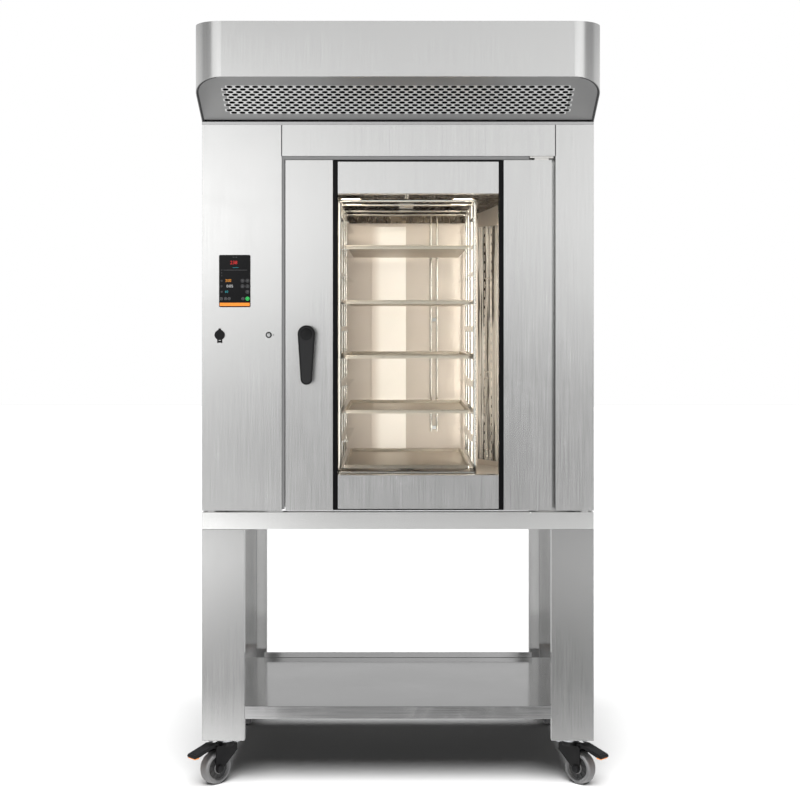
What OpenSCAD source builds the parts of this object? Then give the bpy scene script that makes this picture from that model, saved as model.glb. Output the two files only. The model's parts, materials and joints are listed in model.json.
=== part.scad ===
/* [Cabinet] */
// Width of the oven cabinet
body_w = 1200; // [1180:5:1260]
// Depth of the cabinet, without hood overhang and rear fittings
body_d = 1000; // [980:5:1100]
// Height of the cabinet from its underside to the top of the ledge
body_h = 1191; // [1180:1:1240]
// Thickness of the outer sheets
skin = 2; // [1.5:0.1:2.5]
// Width of the control column left of the door
control_w = 244; // [236:1:256]
// Width of the plain column right of the door
column_w = 117.5; // [110:0.5:130]
// Height of the lintel panel above the door
lintel_h = 96; // [80:1:110]
// Height of the light ledge under the hood
ledge_h = 9.5; // [6:0.5:14]
// How far the ledge stands out of the front panels
ledge_out = 2; // [1:0.5:4]
// Depth of the recess that the door closes into
recess_d = 75.3; // [75:0.1:84]

/* [Stand] */
// Height of the stand with its castors
stand_h = 840; // [800:5:900]
// Depth of the stand
stand_d = 760; // [740:5:860]
// Thickness of the stand's folded sheet
stand_sheet = 3; // [2:0.5:4]
// Width of the front leg's face
leg_w = 130; // [115:1:145]
// Depth of the return fold along the leg's inner edge
leg_return = 25; // [15:1:35]
// Width of the rear leg's stepped inner fold
rear_step_w = 31; // [20:1:40]
// Depth of the step in the rear leg
rear_step_d = 40; // [20:1:60]
// Depth of the plates under the legs
foot_plate = 130; // [120:1:150]
// Height of the top rails
rail_h = 52; // [44:1:64]
// Depth of the top rails
rail_d = 42; // [30:1:60]
// Height of the shelf's top face above the floor
shelf_z = 246; // [220:2:400]
// Depth of the shelf
shelf_d = 646; // [600:2:690]
// Height of the shelf's front lip
shelf_lip = 39; // [25:1:50]
// Height of the upstand along the shelf's back edge
shelf_upstand = 18; // [10:1:30]
// Diameter of the feet between stand and cabinet
foot_d = 46; // [30:1:60]
// Height of the feet
foot_h = 5; // [4:0.5:8]

/* [Castors] */
// Height of a castor with its plate
caster_h = 140; // [136:1:150]
// Diameter of the wheels
wheel_d = 100; // [90:1:104]
// Width of the wheels
wheel_w = 36; // [28:1:40]
// Distance from swivel axis to wheel axle of a front castor
caster_trail = 39; // [34:1:42]
// Angle at which the front castors stand turned outwards
caster_turn = 45; // [0:5:60]
// Distance of the castors from the cabinet's sides
caster_in_x = 65; // [60:1:72]
// Distance of the front castors from the front
caster_in_y = 62; // [58:1:75]
// Thickness of the castors' plates
caster_plate_t = 5; // [4:0.5:6]
// Thickness of the fork cheeks
cheek_t = 3; // [2.5:0.5:4]
// Distance of a fork's front edge from its swivel axis
fork_front = 30; // [28:1:33]
// Diameter of a fork's eye around the axle
axle_boss_d = 30; // [26:1:34]
// Thickness of the pedal's tip
pedal_t = 5; // [4:0.5:6]
// Diameter of the axle
axle_d = 12; // [10:0.5:14]
// Reach of the brake pedal from the swivel axis
pedal_reach = 134; // [125:1:140]

/* [Door] */
// Gap around the door
door_gap = 11.5; // [10.5:0.1:14]
// Thickness of the door
door_t = 60; // [58:0.5:62]
// Thickness of the door's sheets
door_sheet = 2; // [1.5:0.1:2.5]
// Depth of the door's front shells
shell_d = 40; // [35:1:44]
// Height of the door's underside above the cabinet's underside
door_lift = 1; // [0.5:0.5:2]
// Width of the left stile
stile_l = 145; // [130:1:155]
// Width of the right stile
stile_r = 147; // [130:1:155]
// Width of the black trims beside the window
trim_w = 15; // [10:0.5:20]
// Height of the black trims above and below the rails
trim_h = 4.5; // [3:0.5:8]
// Depth at which trims and glass lie behind the door's face
trim_in = 3; // [1:0.5:5]
// Height of the rail above the window
rail_top = 98; // [80:1:120]
// Height of the rail below the window
rail_bottom = 103; // [80:1:120]
// Thickness of the panes
glass_t = 5; // [4:0.5:6]
// How far the inner pane reaches past the window on each side
pane_reach = 12; // [8:1:16]
// Width of the door seal
seal_w = 28; // [20:1:30]
// Height of the door seal
seal_h = 15; // [12:0.1:15]
// Distance of the hinge axis from the door's right edge
hinge_in_x = 30.5; // [28:0.5:31]
// Distance of the hinge axis behind the door's face
hinge_in_y = 25; // [22:1:26]
// Thickness of the hinge brackets' leaves
leaf_t = 5.5; // [4:0.5:8]
// Reach of a hinge bracket and of the hinge block to each side of the axis
leaf_reach = 36; // [30:0.5:40]
// Diameter of the hinge pins
hinge_pin_d = 12; // [8:0.5:14]

/* [Handle] */
// Distance of the handle's axis from the door's left edge
handle_in = 67.5; // [60:0.5:80]
// Distance of the handle's axis above the door's underside
handle_up = 540; // [500:5:600]
// Length of the lever
lever_len = 180; // [150:1:200]
// Width of the lever at its head
lever_head = 53; // [45:1:60]
// Width of the lever at its tip
lever_tip = 35.5; // [25:0.5:42]
// Thickness of the lever
lever_t = 17; // [12:1:22]
// Free space between door and lever
lever_standoff = 38; // [35:1:45]
// Diameter of the lever's neck
neck_d = 38; // [30:1:42]
// Diameter of the spindle inside the neck
spindle_d = 14; // [10:0.5:18]
// Length of the latch arm behind the door
latch_len = 60; // [50:1:64]
// Gap between the latch arm's end and its keeper
keeper_gap = 1.2; // [1:0.1:2]

/* [Controls] */
// Width of the touch screen
screen_w = 96; // [80:1:120]
// Height of the touch screen
screen_h = 160; // [120:1:180]
// Distance of the screen's middle from the left side
screen_x = 100.5; // [80:0.5:130]
// Distance of the screen's middle above the cabinet's underside
screen_z = 703; // [650:1:760]
// Height of the socket cap and the push button above the cabinet's underside
controls_z = 538; // [500:1:560]
// Distance of the socket cap from the left side
usb_x = 54.5; // [45:0.5:65]
// Distance of the push button from the left side
button_x = 204.5; // [190:0.5:214]
// Diameter of the socket cap
cap_d = 31; // [28:0.5:34]
// Diameter of the pin that the port's cap turns on
cap_pin_d = 2; // [1.6:0.2:2.6]
// Thickness of the socket cap
cap_t = 3.5; // [3:0.5:5]
// Diameter of the button's ring
button_ring_d = 18.5; // [16:0.5:22]
// Diameter of the push button
button_d = 11; // [9:0.5:13]
// Travel of the push button
button_travel = 1.5; // [1:0.1:2]
// Depth of the box for the control boards
board_box_d = 62; // [50:1:70]
// Length of the box for the control boards, from front to back
board_box_l = 340; // [300:5:400]
// Height of the box for the control boards
board_box_h = 400; // [300:5:440]

/* [Hood] */
// How far the hood reaches out in front of the cabinet
hood_reach = 213; // [180:1:240]
// Height of the hood above the cabinet
hood_h = 264; // [240:2:300]
// Height of the hood's front face
fascia_h = 162; // [140:1:190]
// Radius of the hood's front corners
hood_r = 85; // [60:1:100]
// Thickness of the intake panel
grille_t = 2; // [1.5:0.1:3]
// Shadow gap between the hood's skin and the intake panel
grille_gap = 4; // [2:0.5:6]
// Width of the seat that the intake panel lies against
grille_seat = 18; // [14:1:24]
// Length of an intake slot
slot_l = 14.5; // [10:0.5:17]
// Width of an intake slot
slot_w = 7; // [4:0.5:7.5]
// Spacing of the slots in a row
slot_pitch = 25.5; // [22:0.5:30]
// Spacing of the rows of slots
row_pitch = 13.5; // [12.5:0.5:15]
// Number of slot rows
slot_rows = 11; // [5:2:11]
// Number of slots in the longer rows
slot_cols = 41; // [31:2:43]
// Distance of the first row from the hood's front edge along the slope
first_row = 57; // [45:1:60]
// Diameter of the exhaust spigot
spigot_d = 150; // [125:1:160]
// Length of the exhaust spigot above the roof
spigot_h = 60; // [40:1:80]
// Distance of the spigot to the right of the cabinet's middle
spigot_x = 300; // [250:5:350]
// Distance of the spigot behind the cabinet's front
spigot_y = 700; // [600:5:760]
// Length of the fan's tube below the roof
blower_l = 150; // [130:5:170]
// Thickness of the fan's tube
blower_wall = 2; // [1.5:0.1:3]
// Diameter of the hub that holds the fan's motor
blower_hub_d = 62; // [50:1:70]
// Diameter of the fan's shaft
blower_pin_d = 10; // [8:0.5:12]

/* [Chamber] */
// Distance of the rack's axis behind the front
rack_y = 470; // [465:1:480]
// Width of the space right of the chamber
side_space = 186; // [172:1:190]
// Height of the space above the chamber
head_space = 176; // [170:1:190]
// Height of the chamber's floor above the cabinet's underside
chamber_up = 60; // [56:1:70]
// Depth of the space behind the chamber
back_space = 145; // [130:1:150]
// Width of the angled corner walls at the back
corner_w = 124; // [80:1:130]
// Depth of the angled corner walls at the back
corner_d = 205; // [150:1:210]
// Drop of the sloped deflector under the ceiling's back edge
deflector_drop = 78; // [40:1:84]
// Thickness of the chamber's sheets
liner = 2; // [1.5:0.1:2.5]
// Thickness of the insulation
wool = 42; // [35:1:44]
// Distance of the mouth's left edge from the chamber's left wall
mouth_left = 124; // [118:1:130]
// Distance of the mouth's right edge from the chamber's right wall
mouth_right = 16; // [14:1:24]
// Distance of the mouth's upper edge from the chamber's ceiling
mouth_top = 10; // [8:1:16]
// Depth of the fan's plenum beside the chamber
plenum_d = 92; // [88:1:96]
// Diameter of the fan wheel
fan_d = 300; // [260:5:320]
// Width of the fan wheel
fan_w = 55; // [45:1:60]
// Number of fan blades
fan_blades = 20; // [12:1:24]
// Space between the plenum's back wall and the fan wheel
fan_wheel_gap = 14; // [10:1:18]
// Number of ring-shaped slots in the fan's guard
guard_rings = 5; // [3:1:5]
// Diameter of the closed middle of the fan's guard
guard_hub_d = 60; // [50:1:70]
// Distance from one ring-shaped slot to the next
guard_pitch = 22; // [18:0.5:23]
// Width of a ring-shaped slot
guard_slot = 13; // [9:0.5:15]
// Diameter of the fan shaft
fan_shaft_d = 18; // [14:1:22]
// Diameter of the fan motor's flange
motor_d = 140; // [120:1:150]
// Length of the fan motor
motor_l = 88; // [70:1:92]
// Diameter of the heating rods
rod_d = 9; // [7:0.5:10]
// Number of rings of the heating rods
rod_rings = 3; // [2:1:3]
// Diameter of the vent pipe
vent_d = 60; // [50:1:70]
// Thickness of the vent pipe
vent_wall = 1.5; // [1:0.1:2]
// Diameter of the pin that carries the vent flap
flap_pin_d = 6; // [5:0.5:8]
// Distance of the vent flap below the cabinet's top
flap_down = 60; // [50:1:80]
// Diameter of the water pipes at the back wall
water_d = 8; // [6:0.5:8]
// Spacing of the water pipes
pipe_gap = 22; // [18:1:28]
// Distance of the water pipes to the right of the rack's axis
pipe_right = 103; // [90:1:120]
// Diameter of the lamps in the ceiling
lamp_d = 64; // [56:1:72]
// Height of the water pipes' lower ends above the chamber's floor
pipe_low = 120; // [80:5:160]
// Distance of the water pipes' upper ends below the chamber's ceiling
pipe_head = 20; // [12:1:30]
// Number of clips on the water pipes
pipe_clips = 3; // [2:1:5]
// Height of a clip on the water pipes
clip_h = 12; // [8:1:20]
// Distance of the lamps to either side of the rack's axis
lamp_side = 180; // [150:5:200]
// Distance of the lamps behind the chamber's front
lamp_back = 100; // [80:5:140]

/* [Rack] */
// Width of a tray
tray_w = 400; // [380:1:404]
// Length of a tray
tray_l = 600; // [560:1:604]
// Height of a tray's rim
tray_rim = 11; // [8:1:20]
// Thickness of a tray's sheet
tray_t = 1.5; // [1:0.1:2]
// Number of trays
tray_count = 5; // [3:1:5]
// Height of the lowest tray above the chamber's floor
tray_low = 52; // [48:1:60]
// Space between the highest tray and the rack's top frame
tray_head = 155; // [120:1:160]
// Diameter of the rack's rods
rack_rod = 10; // [8:0.5:10]
// Distance of the rack's top frame below the chamber's ceiling
rack_down = 50; // [47:1:60]
// Diameter of the drive shaft
drive_d = 20; // [16:1:24]
// Diameter of the pivot under the turntable
pivot_d = 20; // [16:1:24]
// Diameter of the motor that turns the rack
gear_motor_d = 70; // [60:1:80]
// Length of the motor that turns the rack
gear_motor_l = 150; // [120:5:180]
// Length of the gearbox above the chamber
gear_box_l = 120; // [100:5:140]
// Height of the gearbox above the chamber
gear_box_h = 72; // [60:1:76]

/* [Rear] */
// Length of the fittings behind the rear panel
fitting_reach = 34; // [25:1:45]
// Diameter of the water inlet's thread
inlet_d = 26.4; // [20:0.1:33.2]
// Diameter of the cable gland
gland_d = 32; // [25:1:40]
// Height of the fittings above the cabinet's underside
fitting_up = 110; // [90:5:200]
// Distance of the water inlet from the cabinet's side
fitting_in = 90; // [80:5:150]
// Spacing of the water inlet and the cable gland
fitting_gap = 100; // [80:5:150]
// Diameter of the drain pipe
drain_d = 40; // [32:1:50]
// Length of drain pipe below the cabinet
drain_reach = 45; // [30:1:60]
// Thickness of the nuts and collars that hold pipes in the sheets
nut_t = 6; // [4:0.5:10]

/* [Clearances] */
// Gap between pieces that turn or slide on each other
run_gap = 0.3; // [0.2:0.05:0.5]
// Seam between fixed pieces that stand side by side
seam = 0.3; // [0.2:0.05:0.5]
// Clearance of a press fit on its radius
press_gap = 0.05; // [0.02:0.01:0.1]

/* [Hidden] */
$fn = 64;
cut = 1;
half_w = body_w / 2;
front_y = (hood_reach - body_d - fitting_reach) / 2;

body_z = stand_h + foot_h;
top_z = body_z + body_h;
ledge_z = top_z - ledge_h;
lintel_z = ledge_z - lintel_h;
recess_l = control_w - half_w;
recess_r = half_w - column_w;
frame_y = recess_d + liner;

door_l = recess_l + door_gap;
door_r = recess_r - door_gap;
door_z = body_z + door_lift;
door_top = lintel_z - door_gap - 0.5;
centre_l = door_l + stile_l + trim_w;
centre_r = door_r - stile_r - trim_w;
window_z = door_z + trim_h + rail_bottom;
window_top = door_top - trim_h - rail_top;
hinge_x = door_r - hinge_in_x;
handle_x = door_l + handle_in;
handle_z = door_z + handle_up;

hood_z = top_z;
hood_top = hood_z + hood_h;
fascia_z = hood_top - fascia_h;
slope_a = atan((fascia_z - hood_z) / hood_reach);
slope_l = norm([hood_reach, fascia_z - hood_z]);

seat_low = grille_gap - 1 + grille_t;
blower_low = hood_top - blower_l;

chamber_l = recess_l;
chamber_r = half_w - side_space;
rack_x = (chamber_l + chamber_r) / 2;
chamber_back = body_d - back_space;
chamber_h = body_h - chamber_up - head_space;
floor_z = body_z + chamber_up;
ceiling_z = floor_z + chamber_h;
corner_y = chamber_back - corner_d;
mouth_l = chamber_l + mouth_left;
mouth_r = chamber_r - mouth_right;
plenum_l = chamber_l - plenum_d;
fan_z = floor_z + chamber_h / 2;
fan_y = (frame_y + corner_y) / 2;
wool_top = ceiling_z + liner + wool;
wool_floor = body_z + skin;
vent_x = rack_x - 200;
vent_y = rack_y + 110;
flap_z = top_z - flap_down;
lamp_places = [for (side = [-1, 1]) [rack_x + side * lamp_side, frame_y + lamp_back]];
drain_at = [rack_x, chamber_back - 45];
pipe_x = rack_x + pipe_right;
pipe_y = chamber_back - water_d / 2 - 2;
fitting_x = [fitting_in - half_w, fitting_in + fitting_gap - half_w];
fitting_z = body_z + fitting_up;

tray_front = rack_y - tray_l / 2;
tray_back = rack_y + tray_l / 2;
post_x = tray_w / 2 + rack_rod / 2 + 11;
post_y = tray_l / 2 - rack_rod / 2;
rack_top = ceiling_z - rack_down;
tray_pitch = (rack_top - floor_z - tray_low - tray_head) / (tray_count - 1);
turntable_z = floor_z + 20;
arm_t = 4;
hub_span = 0.45 * post_y;
rod_frame_z = turntable_z + 18;

caster_x = half_w - caster_in_x;
rear_caster_y = stand_d - caster_in_y;
leg_z = caster_h;
race_z = caster_h - caster_plate_t - 9;
axle_z = wheel_d / 2;
hub_w = wheel_w + 2 * run_gap + 1;
cheek_x = hub_w / 2 + run_gap;
crown_z = wheel_d + 12;
pedal_pin = [-(caster_trail + 8), crown_z + 11];
cap_z = 0.5 + cap_t;
cap_hinge_up = -cap_d / 2 - 6;

// Moves what is drawn from the cabinet's front plane to the footprint's middle
module in_place() {
  translate([0, front_y, 0]) children();
}

// Draws its children and their mirror image about the cabinet's middle
module both_sides() {
  children();
  mirror([1, 0, 0]) children();
}

// A block between two opposite corners
module block(low, high) {
  translate(low) cube(high - low);
}

// A cylinder along X, Y or Z from a point at its end
module rod(at, d, l, axis) {
  turn = axis == "x" ? [0, 90, 0] : axis == "y" ? [-90, 0, 0] : [0, 0, 0];
  translate(at) rotate(turn) cylinder(d = d, h = l);
}

function left_of(a, b) = [a.y - b.y, b.x - a.x] / norm(b - a);

// The inner corner of a folded sheet at point i of its outline
function fold_corner(path, i, t) =
  let (last = len(path) - 1)
  let (before = left_of(path[max(i - 1, 0)], path[max(i, 1)]))
  let (after = left_of(path[min(i, last - 1)], path[min(i + 1, last)]))
  path[i] + t * (before + after) / (1 + before * after);

// A folded sheet, seen on its edge; the thickness lies left of the path
module folded(path, t) {
  last = len(path) - 1;
  polygon(concat(path, [for (i = [last : -1 : 0]) fold_corner(path, i, t)]));
}

// A folded sheet that stands upright between two heights
module upright(path, t, low, high) {
  translate([0, 0, low]) linear_extrude(high - low) folded(path, t);
}

// A folded sheet whose edge outline is given in Y and Z, drawn along X
module lying(path, t, left, right) {
  translate([left, 0, 0]) rotate([90, 0, 90]) linear_extrude(right - left) folded(path, t);
}

// A rectangle with round corners
module round_rect(w, h, r) {
  square([w - 2 * r, h], center = true);
  square([w, h - 2 * r], center = true);
  for (x = [-1, 1], y = [-1, 1]) translate([x * (w / 2 - r), y * (h / 2 - r)]) circle(r);
}

// An oblong hole with round ends
module oblong(l, w) {
  square([l - w, w], center = true);
  for (side = [-1, 1]) translate([side * (l - w) / 2, 0]) circle(d = w);
}

// STAND

// One side of the stand: front leg, side wall and stepped rear leg from one sheet
module stand_side() {
  outer = -half_w;
  inner = outer + leg_w;
  step_x = inner - rear_step_w;
  back = stand_d;
  path = [
    [inner, back - rear_step_d + leg_return], [inner, back - rear_step_d],
    [step_x, back - rear_step_d], [step_x, back], [outer, back],
    [outer, 0], [inner, 0], [inner, leg_return]
  ];
  upright(path, stand_sheet, leg_z, stand_h - rail_h);
  for (y = [0, back - foot_plate])
    block([outer, y, leg_z], [step_x, y + foot_plate, leg_z + stand_sheet]);
}

module stand_sides() color("gainsboro") in_place() both_sides() stand_side();

module stand_rails() color("gainsboro") in_place() {
  low = stand_h - rail_h;
  channel = [[rail_d, low], [0, low], [0, stand_h], [rail_d, stand_h]];
  web_end = stand_sheet + seam;
  difference() {
    union() {
      lying(channel, -stand_sheet, -half_w, half_w);
      translate([0, stand_d, 0]) mirror([0, 1, 0]) lying(channel, -stand_sheet, -half_w, half_w);
    }
    both_sides()
      block([-half_w - cut, stand_sheet, low - cut],
        [web_end - half_w, stand_d - stand_sheet, stand_h + cut]);
  }
  both_sides() {
    block([-half_w, web_end, low], [stand_sheet - half_w, stand_d - web_end, stand_h]);
    translate([-half_w, stand_d - rail_d - seam, 0]) rotate([90, 0, 0])
      linear_extrude(stand_d - 2 * (rail_d + seam)) folded(channel, -stand_sheet);
  }
}

module stand_shelf() color("silver") in_place() {
  lip = half_w - leg_w - seam;
  wall = half_w - stand_sheet;
  low = shelf_z - shelf_lip;
  back_y = leg_return + seam;
  lying([[stand_sheet, low], [0, low], [0, shelf_z], [shelf_d, shelf_z], [shelf_d, shelf_z + shelf_upstand]],
    -stand_sheet, -lip, lip);
  both_sides() lying([[back_y, shelf_z], [shelf_d, shelf_z]], -stand_sheet, -wall, -lip);
  both_sides() block([-wall, back_y, low], [-wall + stand_sheet, shelf_d, shelf_z - stand_sheet]);
}

// CASTORS

module at_casters(y) {
  for (side = [-1, 1]) translate([side * caster_x, y, 0]) children();
}

// Turns a front castor outwards; side is -1 on the left and 1 on the right
module turned_caster(side) {
  in_place() translate([side * caster_x, caster_in_y, 0]) rotate([0, 0, side * caster_turn]) children();
}

module caster_plates() color("dimgray") in_place() {
  plate = 2 * (caster_in_x - 12);
  low = caster_h - caster_plate_t;
  for (y = [caster_in_y, rear_caster_y]) at_casters(y) {
    difference() {
      translate([0, 0, low]) linear_extrude(caster_plate_t) round_rect(plate, plate * 0.85, 8);
      for (x = [-1, 1], v = [-1, 1])
        rod([x * plate * 0.38, v * plate * 0.3, low - cut], 9, caster_plate_t + 2 * cut, "z");
    }
  }
  at_casters(caster_in_y) translate([0, 0, race_z]) cylinder(d = 58, h = low - race_z);
}

// A fork cheek seen from the side, with its axle at the given distance behind the swivel axis
module cheek(trail, top) {
  back = -fork_front - trail * 0.56;
  polygon([
    [fork_front - 2, top], [fork_front, top - 22], [axle_boss_d / 2 - trail, axle_z],
    [-axle_boss_d / 2 - trail, axle_z], [back, top - 6], [back, top]
  ]);
  translate([-trail, axle_z]) circle(d = axle_boss_d);
}

module fork(trail, top) {
  for (side = [-1, 1])
    translate([side * (cheek_x + cheek_t / 2) - cheek_t / 2, 0, 0]) rotate([90, 0, 90])
      linear_extrude(cheek_t) cheek(trail, top);
  block([-cheek_x - cheek_t, -fork_front, crown_z],
    [cheek_x + cheek_t, fork_front - 2, crown_z + cheek_t]);
  rod([-cheek_x - cheek_t - 4, -trail, axle_z], axle_d, 2 * (cheek_x + cheek_t + 4), "x");
  for (side = [-1, 1])
    rod([side * (cheek_x + cheek_t + 2.5) - 2.5, -trail, axle_z], 20, 5, "x");
}

module front_fork(side) {
  head_z = race_z - run_gap;
  turned_caster(side) {
    fork(caster_trail, crown_z + cheek_t + 3);
    translate([0, 0, crown_z]) cylinder(d = 54, h = head_z - crown_z);
    rod([-cheek_x - cheek_t - 2, pedal_pin.x, pedal_pin.y - 6], 7, 2 * (cheek_x + cheek_t + 2), "x");
  }
}

module front_fork_left() color("dimgray") front_fork(-1);
module front_fork_right() color("dimgray") front_fork(1);

module rear_forks() color("dimgray") in_place() at_casters(rear_caster_y) {
  fork(0, crown_z + cheek_t);
  block([-cheek_x - cheek_t, -fork_front, crown_z],
    [cheek_x + cheek_t, fork_front - 2, caster_h - caster_plate_t]);
}

// A wheel about the X axis: crowned tyre, dished disc and hub
module wheel() {
  r = wheel_d / 2;
  half = wheel_w / 2;
  dish = 6;
  rotate([0, 90, 0]) rotate_extrude($fn = 96) difference() {
    polygon([
      [axle_d / 2 + run_gap, -hub_w / 2], [17, -hub_w / 2], [17, -half + dish], [r - 16, -half + dish],
      [r - 12, -half], [r - 5, -half], [r - 1, -half + 6], [r, 0], [r - 1, half - 6], [r - 5, half],
      [r - 12, half], [r - 16, half - dish], [17, half - dish], [17, hub_w / 2],
      [axle_d / 2 + run_gap, hub_w / 2]
    ]);
    for (side = [-1, 1]) translate([r - 12, side * half]) circle(d = 1.6);
  }
}

module front_wheel(side) turned_caster(side) translate([0, -caster_trail, axle_z]) wheel();
module rear_wheel(side) in_place() translate([side * caster_x, rear_caster_y, axle_z]) wheel();

module front_wheel_left() color("darkgray") front_wheel(-1);
module front_wheel_right() color("darkgray") front_wheel(1);
module rear_wheel_left() color("darkgray") rear_wheel(-1);
module rear_wheel_right() color("darkgray") rear_wheel(1);

// Brake pedal with its shoe above the tyre and a turned-down tip
module brake_pedal(side) turned_caster(side) {
  width = 2 * cheek_x - 2;
  root = pedal_pin.x;
  top = pedal_pin.y;
  difference() {
    rotate([90, 0, 90]) translate([0, 0, -width / 2]) linear_extrude(width) {
      polygon([
        [root + 9, top - 9], [root + 9, top - 2], [root, top + 3], [root - 14, top + 3],
        [-pedal_reach + 4, top - 17], [-pedal_reach, top - 22], [-pedal_reach + 2, top - 22 - pedal_t],
        [-pedal_reach + 24, top - 19 - pedal_t], [root - 16, top - 8], [root - 6, top - 12]
      ]);
    }
    rod([-width / 2 - cut, root, top - 6], 7 + 2 * run_gap, width + 2 * cut, "x");
    for (x = [-1, 0, 1])
      rod([x * 9, -pedal_reach + 10, top - 40], 4, 40, "z");
  }
}

module brake_pedal_left() color("darkorange") brake_pedal(-1);
module brake_pedal_right() color("darkorange") brake_pedal(1);

// CABINET

module side_panels() color("silver") in_place() both_sides() {
  fold = 16;
  path = [[fold - half_w, body_d - skin], [-half_w, body_d - skin], [-half_w, skin], [fold - half_w, skin]];
  upright(path, skin, body_z, top_z - skin);
}

// Rows of ventilation slots, drawn in X and Z about their middle
module louvres(rows, w) {
  for (i = [0 : rows - 1])
    translate([0, 0, (i - (rows - 1) / 2) * 14]) rotate([90, 0, 0])
      linear_extrude(4 * skin, center = true) oblong(w, 6);
}

module rear_panel() color("silver") in_place() difference() {
  block([-half_w + skin + seam, body_d - skin, body_z], [half_w - skin - seam, body_d, top_z - skin]);
  for (x = [-0.35, 0.35], z = [0.2, 0.8])
    translate([x * body_w, body_d, body_z + z * body_h]) louvres(8, 130);
  fitting_bores(2 * press_gap);
}

// Bores for the fittings in the rear panel
module fitting_bores(extra) {
  rod([fitting_x[0], body_d - 3 * skin, fitting_z], inlet_d + extra, 6 * skin, "y");
  rod([fitting_x[1], body_d - 3 * skin, fitting_z], gland_d + extra, 6 * skin, "y");
}

module service_fittings() color("goldenrod") in_place() {
  rod([fitting_x[0], body_d - 12, fitting_z], inlet_d, 12 + fitting_reach, "y");
  rod([fitting_x[1], body_d - 12, fitting_z], gland_d, 12, "y");
  for (i = [0, 1])
    translate([fitting_x[i], body_d, fitting_z]) rotate([-90, 0, 0])
      cylinder(d = gland_d + 12, h = nut_t + 2, $fn = 6);
  translate([fitting_x[1], body_d, fitting_z]) rotate([-90, 0, 0]) cylinder(d1 = gland_d, d2 = 22, h = 26);
}

module roof_panel() color("whitesmoke") in_place() difference() {
  union() {
    block([-half_w, -ledge_out, top_z - skin], [half_w, body_d, top_z]);
    block([-half_w, -ledge_out, ledge_z], [half_w, 0, top_z]);
  }
  rod([vent_x, vent_y, top_z - skin - cut], vent_d + 2 * seam, skin + 2 * cut, "z");
}

module base_pan() color("silver") in_place() difference() {
  edge = half_w - skin - seam;
  union() {
    difference() {
      block([-edge, 2 * skin, body_z], [edge, body_d - 2 * skin, body_z + skin]);
      block([recess_l - skin, 0, body_z - cut], [recess_r + skin, recess_d, body_z + skin + cut]);
    }
    both_sides() for (y = [foot_d / 2 + 4, stand_d - foot_d / 2 - 4])
      rod([-edge + foot_d / 2, y, stand_h], foot_d, foot_h, "z");
  }
  rod([drain_at.x, drain_at.y, body_z - cut], drain_d + 2 * seam, skin + 2 * cut, "z");
}

// A front panel beside the door with the fold that lines the door's recess
module column(outer, inner) {
  turn = inner > outer ? 1 : -1;
  path = [[outer, 0], [inner, 0], [inner, recess_d]];
  upright(path, turn * skin, body_z, top_z - skin);
}

module control_panel() color("silver") in_place() difference() {
  column(-half_w, recess_l);
  translate([-half_w + screen_x, 0, body_z + screen_z]) rotate([90, 0, 0])
    linear_extrude(4 * skin, center = true) square([screen_w - 12, screen_h - 12], center = true);
  rod([-half_w + usb_x, -cut, body_z + controls_z], cap_d - 8, 4 * skin, "y");
  rod([-half_w + button_x, -cut, body_z + controls_z], button_ring_d - 4, 4 * skin, "y");
}

module right_column() color("silver") in_place() column(half_w, recess_r);

module lintel_panel() color("silver") in_place()
  lying([[recess_d, lintel_z], [0, lintel_z], [0, top_z - skin]], -skin, recess_l + seam, recess_r - seam);

// HOOD

// The hood seen from above, drawn inside its outline by the given inset
module hood_plan(inset) {
  r = hood_r - inset;
  w = half_w - inset;
  straight = half_w - hood_r;
  union() {
    translate([-w, hood_r - hood_reach]) square([2 * w, body_d - inset - hood_r + hood_reach]);
    translate([-straight, inset - hood_reach]) square([2 * straight, r + cut]);
    for (side = [-1, 1]) translate([side * straight, hood_r - hood_reach]) circle(r);
  }
}

// Places children on the hood's sloped underside: Y runs down the slope from the front edge, Z points up
module on_slope() {
  translate([0, -hood_reach, fascia_z]) rotate([-slope_a, 0, 0]) children();
}

// A slab that lies along the hood's sloped underside between two depths
module slope_slab(low, high) {
  on_slope() block([-half_w - cut, -20, low], [half_w + cut, slope_l + 20, high]);
}

module hood_shell() color("lightgray") in_place() difference() {
  union() {
    translate([0, 0, hood_z - grille_seat]) linear_extrude(hood_h + grille_seat - skin) difference() {
      hood_plan(0);
      hood_plan(skin);
    }
    translate([0, 0, hood_top - skin]) linear_extrude(skin) hood_plan(0);
    intersection() {
      slope_slab(seat_low, seat_low + skin);
      translate([0, 0, hood_z - 20]) linear_extrude(hood_h) difference() {
        hood_plan(skin / 2);
        hood_plan(skin + grille_seat);
        translate([-half_w - cut, -2 * skin]) square([body_w + 2 * cut, body_d + hood_reach]);
      }
    }
  }
  translate([-half_w - cut, 0, 0]) rotate([90, 0, 90]) linear_extrude(body_w + 2 * cut) polygon([
    [-hood_reach - cut, fascia_z + cut * tan(slope_a)], [0, hood_z], [body_d + cut, hood_z],
    [body_d + cut, hood_z - hood_h], [-hood_reach - cut, hood_z - hood_h]
  ]);
  rod([spigot_x, spigot_y, hood_top - skin - cut], spigot_d + 2 * seam, skin + 2 * cut, "z");
}

// Staggered rows of intake slots, drawn flat
module slot_field() {
  for (row = [0 : slot_rows - 1]) {
    short = row % 2 == 0 ? 1 : 0;
    count = slot_cols - short;
    for (i = [0 : count - 1])
      translate([(i - (count - 1) / 2) * slot_pitch, first_row + row * row_pitch]) oblong(slot_l, slot_w);
  }
}

module hood_grille() color("gray") in_place() intersection() {
  on_slope() translate([0, 0, seat_low - grille_t]) linear_extrude(grille_t) difference() {
    translate([-half_w, 0]) square([body_w, slope_l - grille_gap]);
    slot_field();
  }
  translate([0, 0, hood_z - hood_h]) linear_extrude(2 * hood_h) hood_plan(skin + grille_gap);
}

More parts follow.
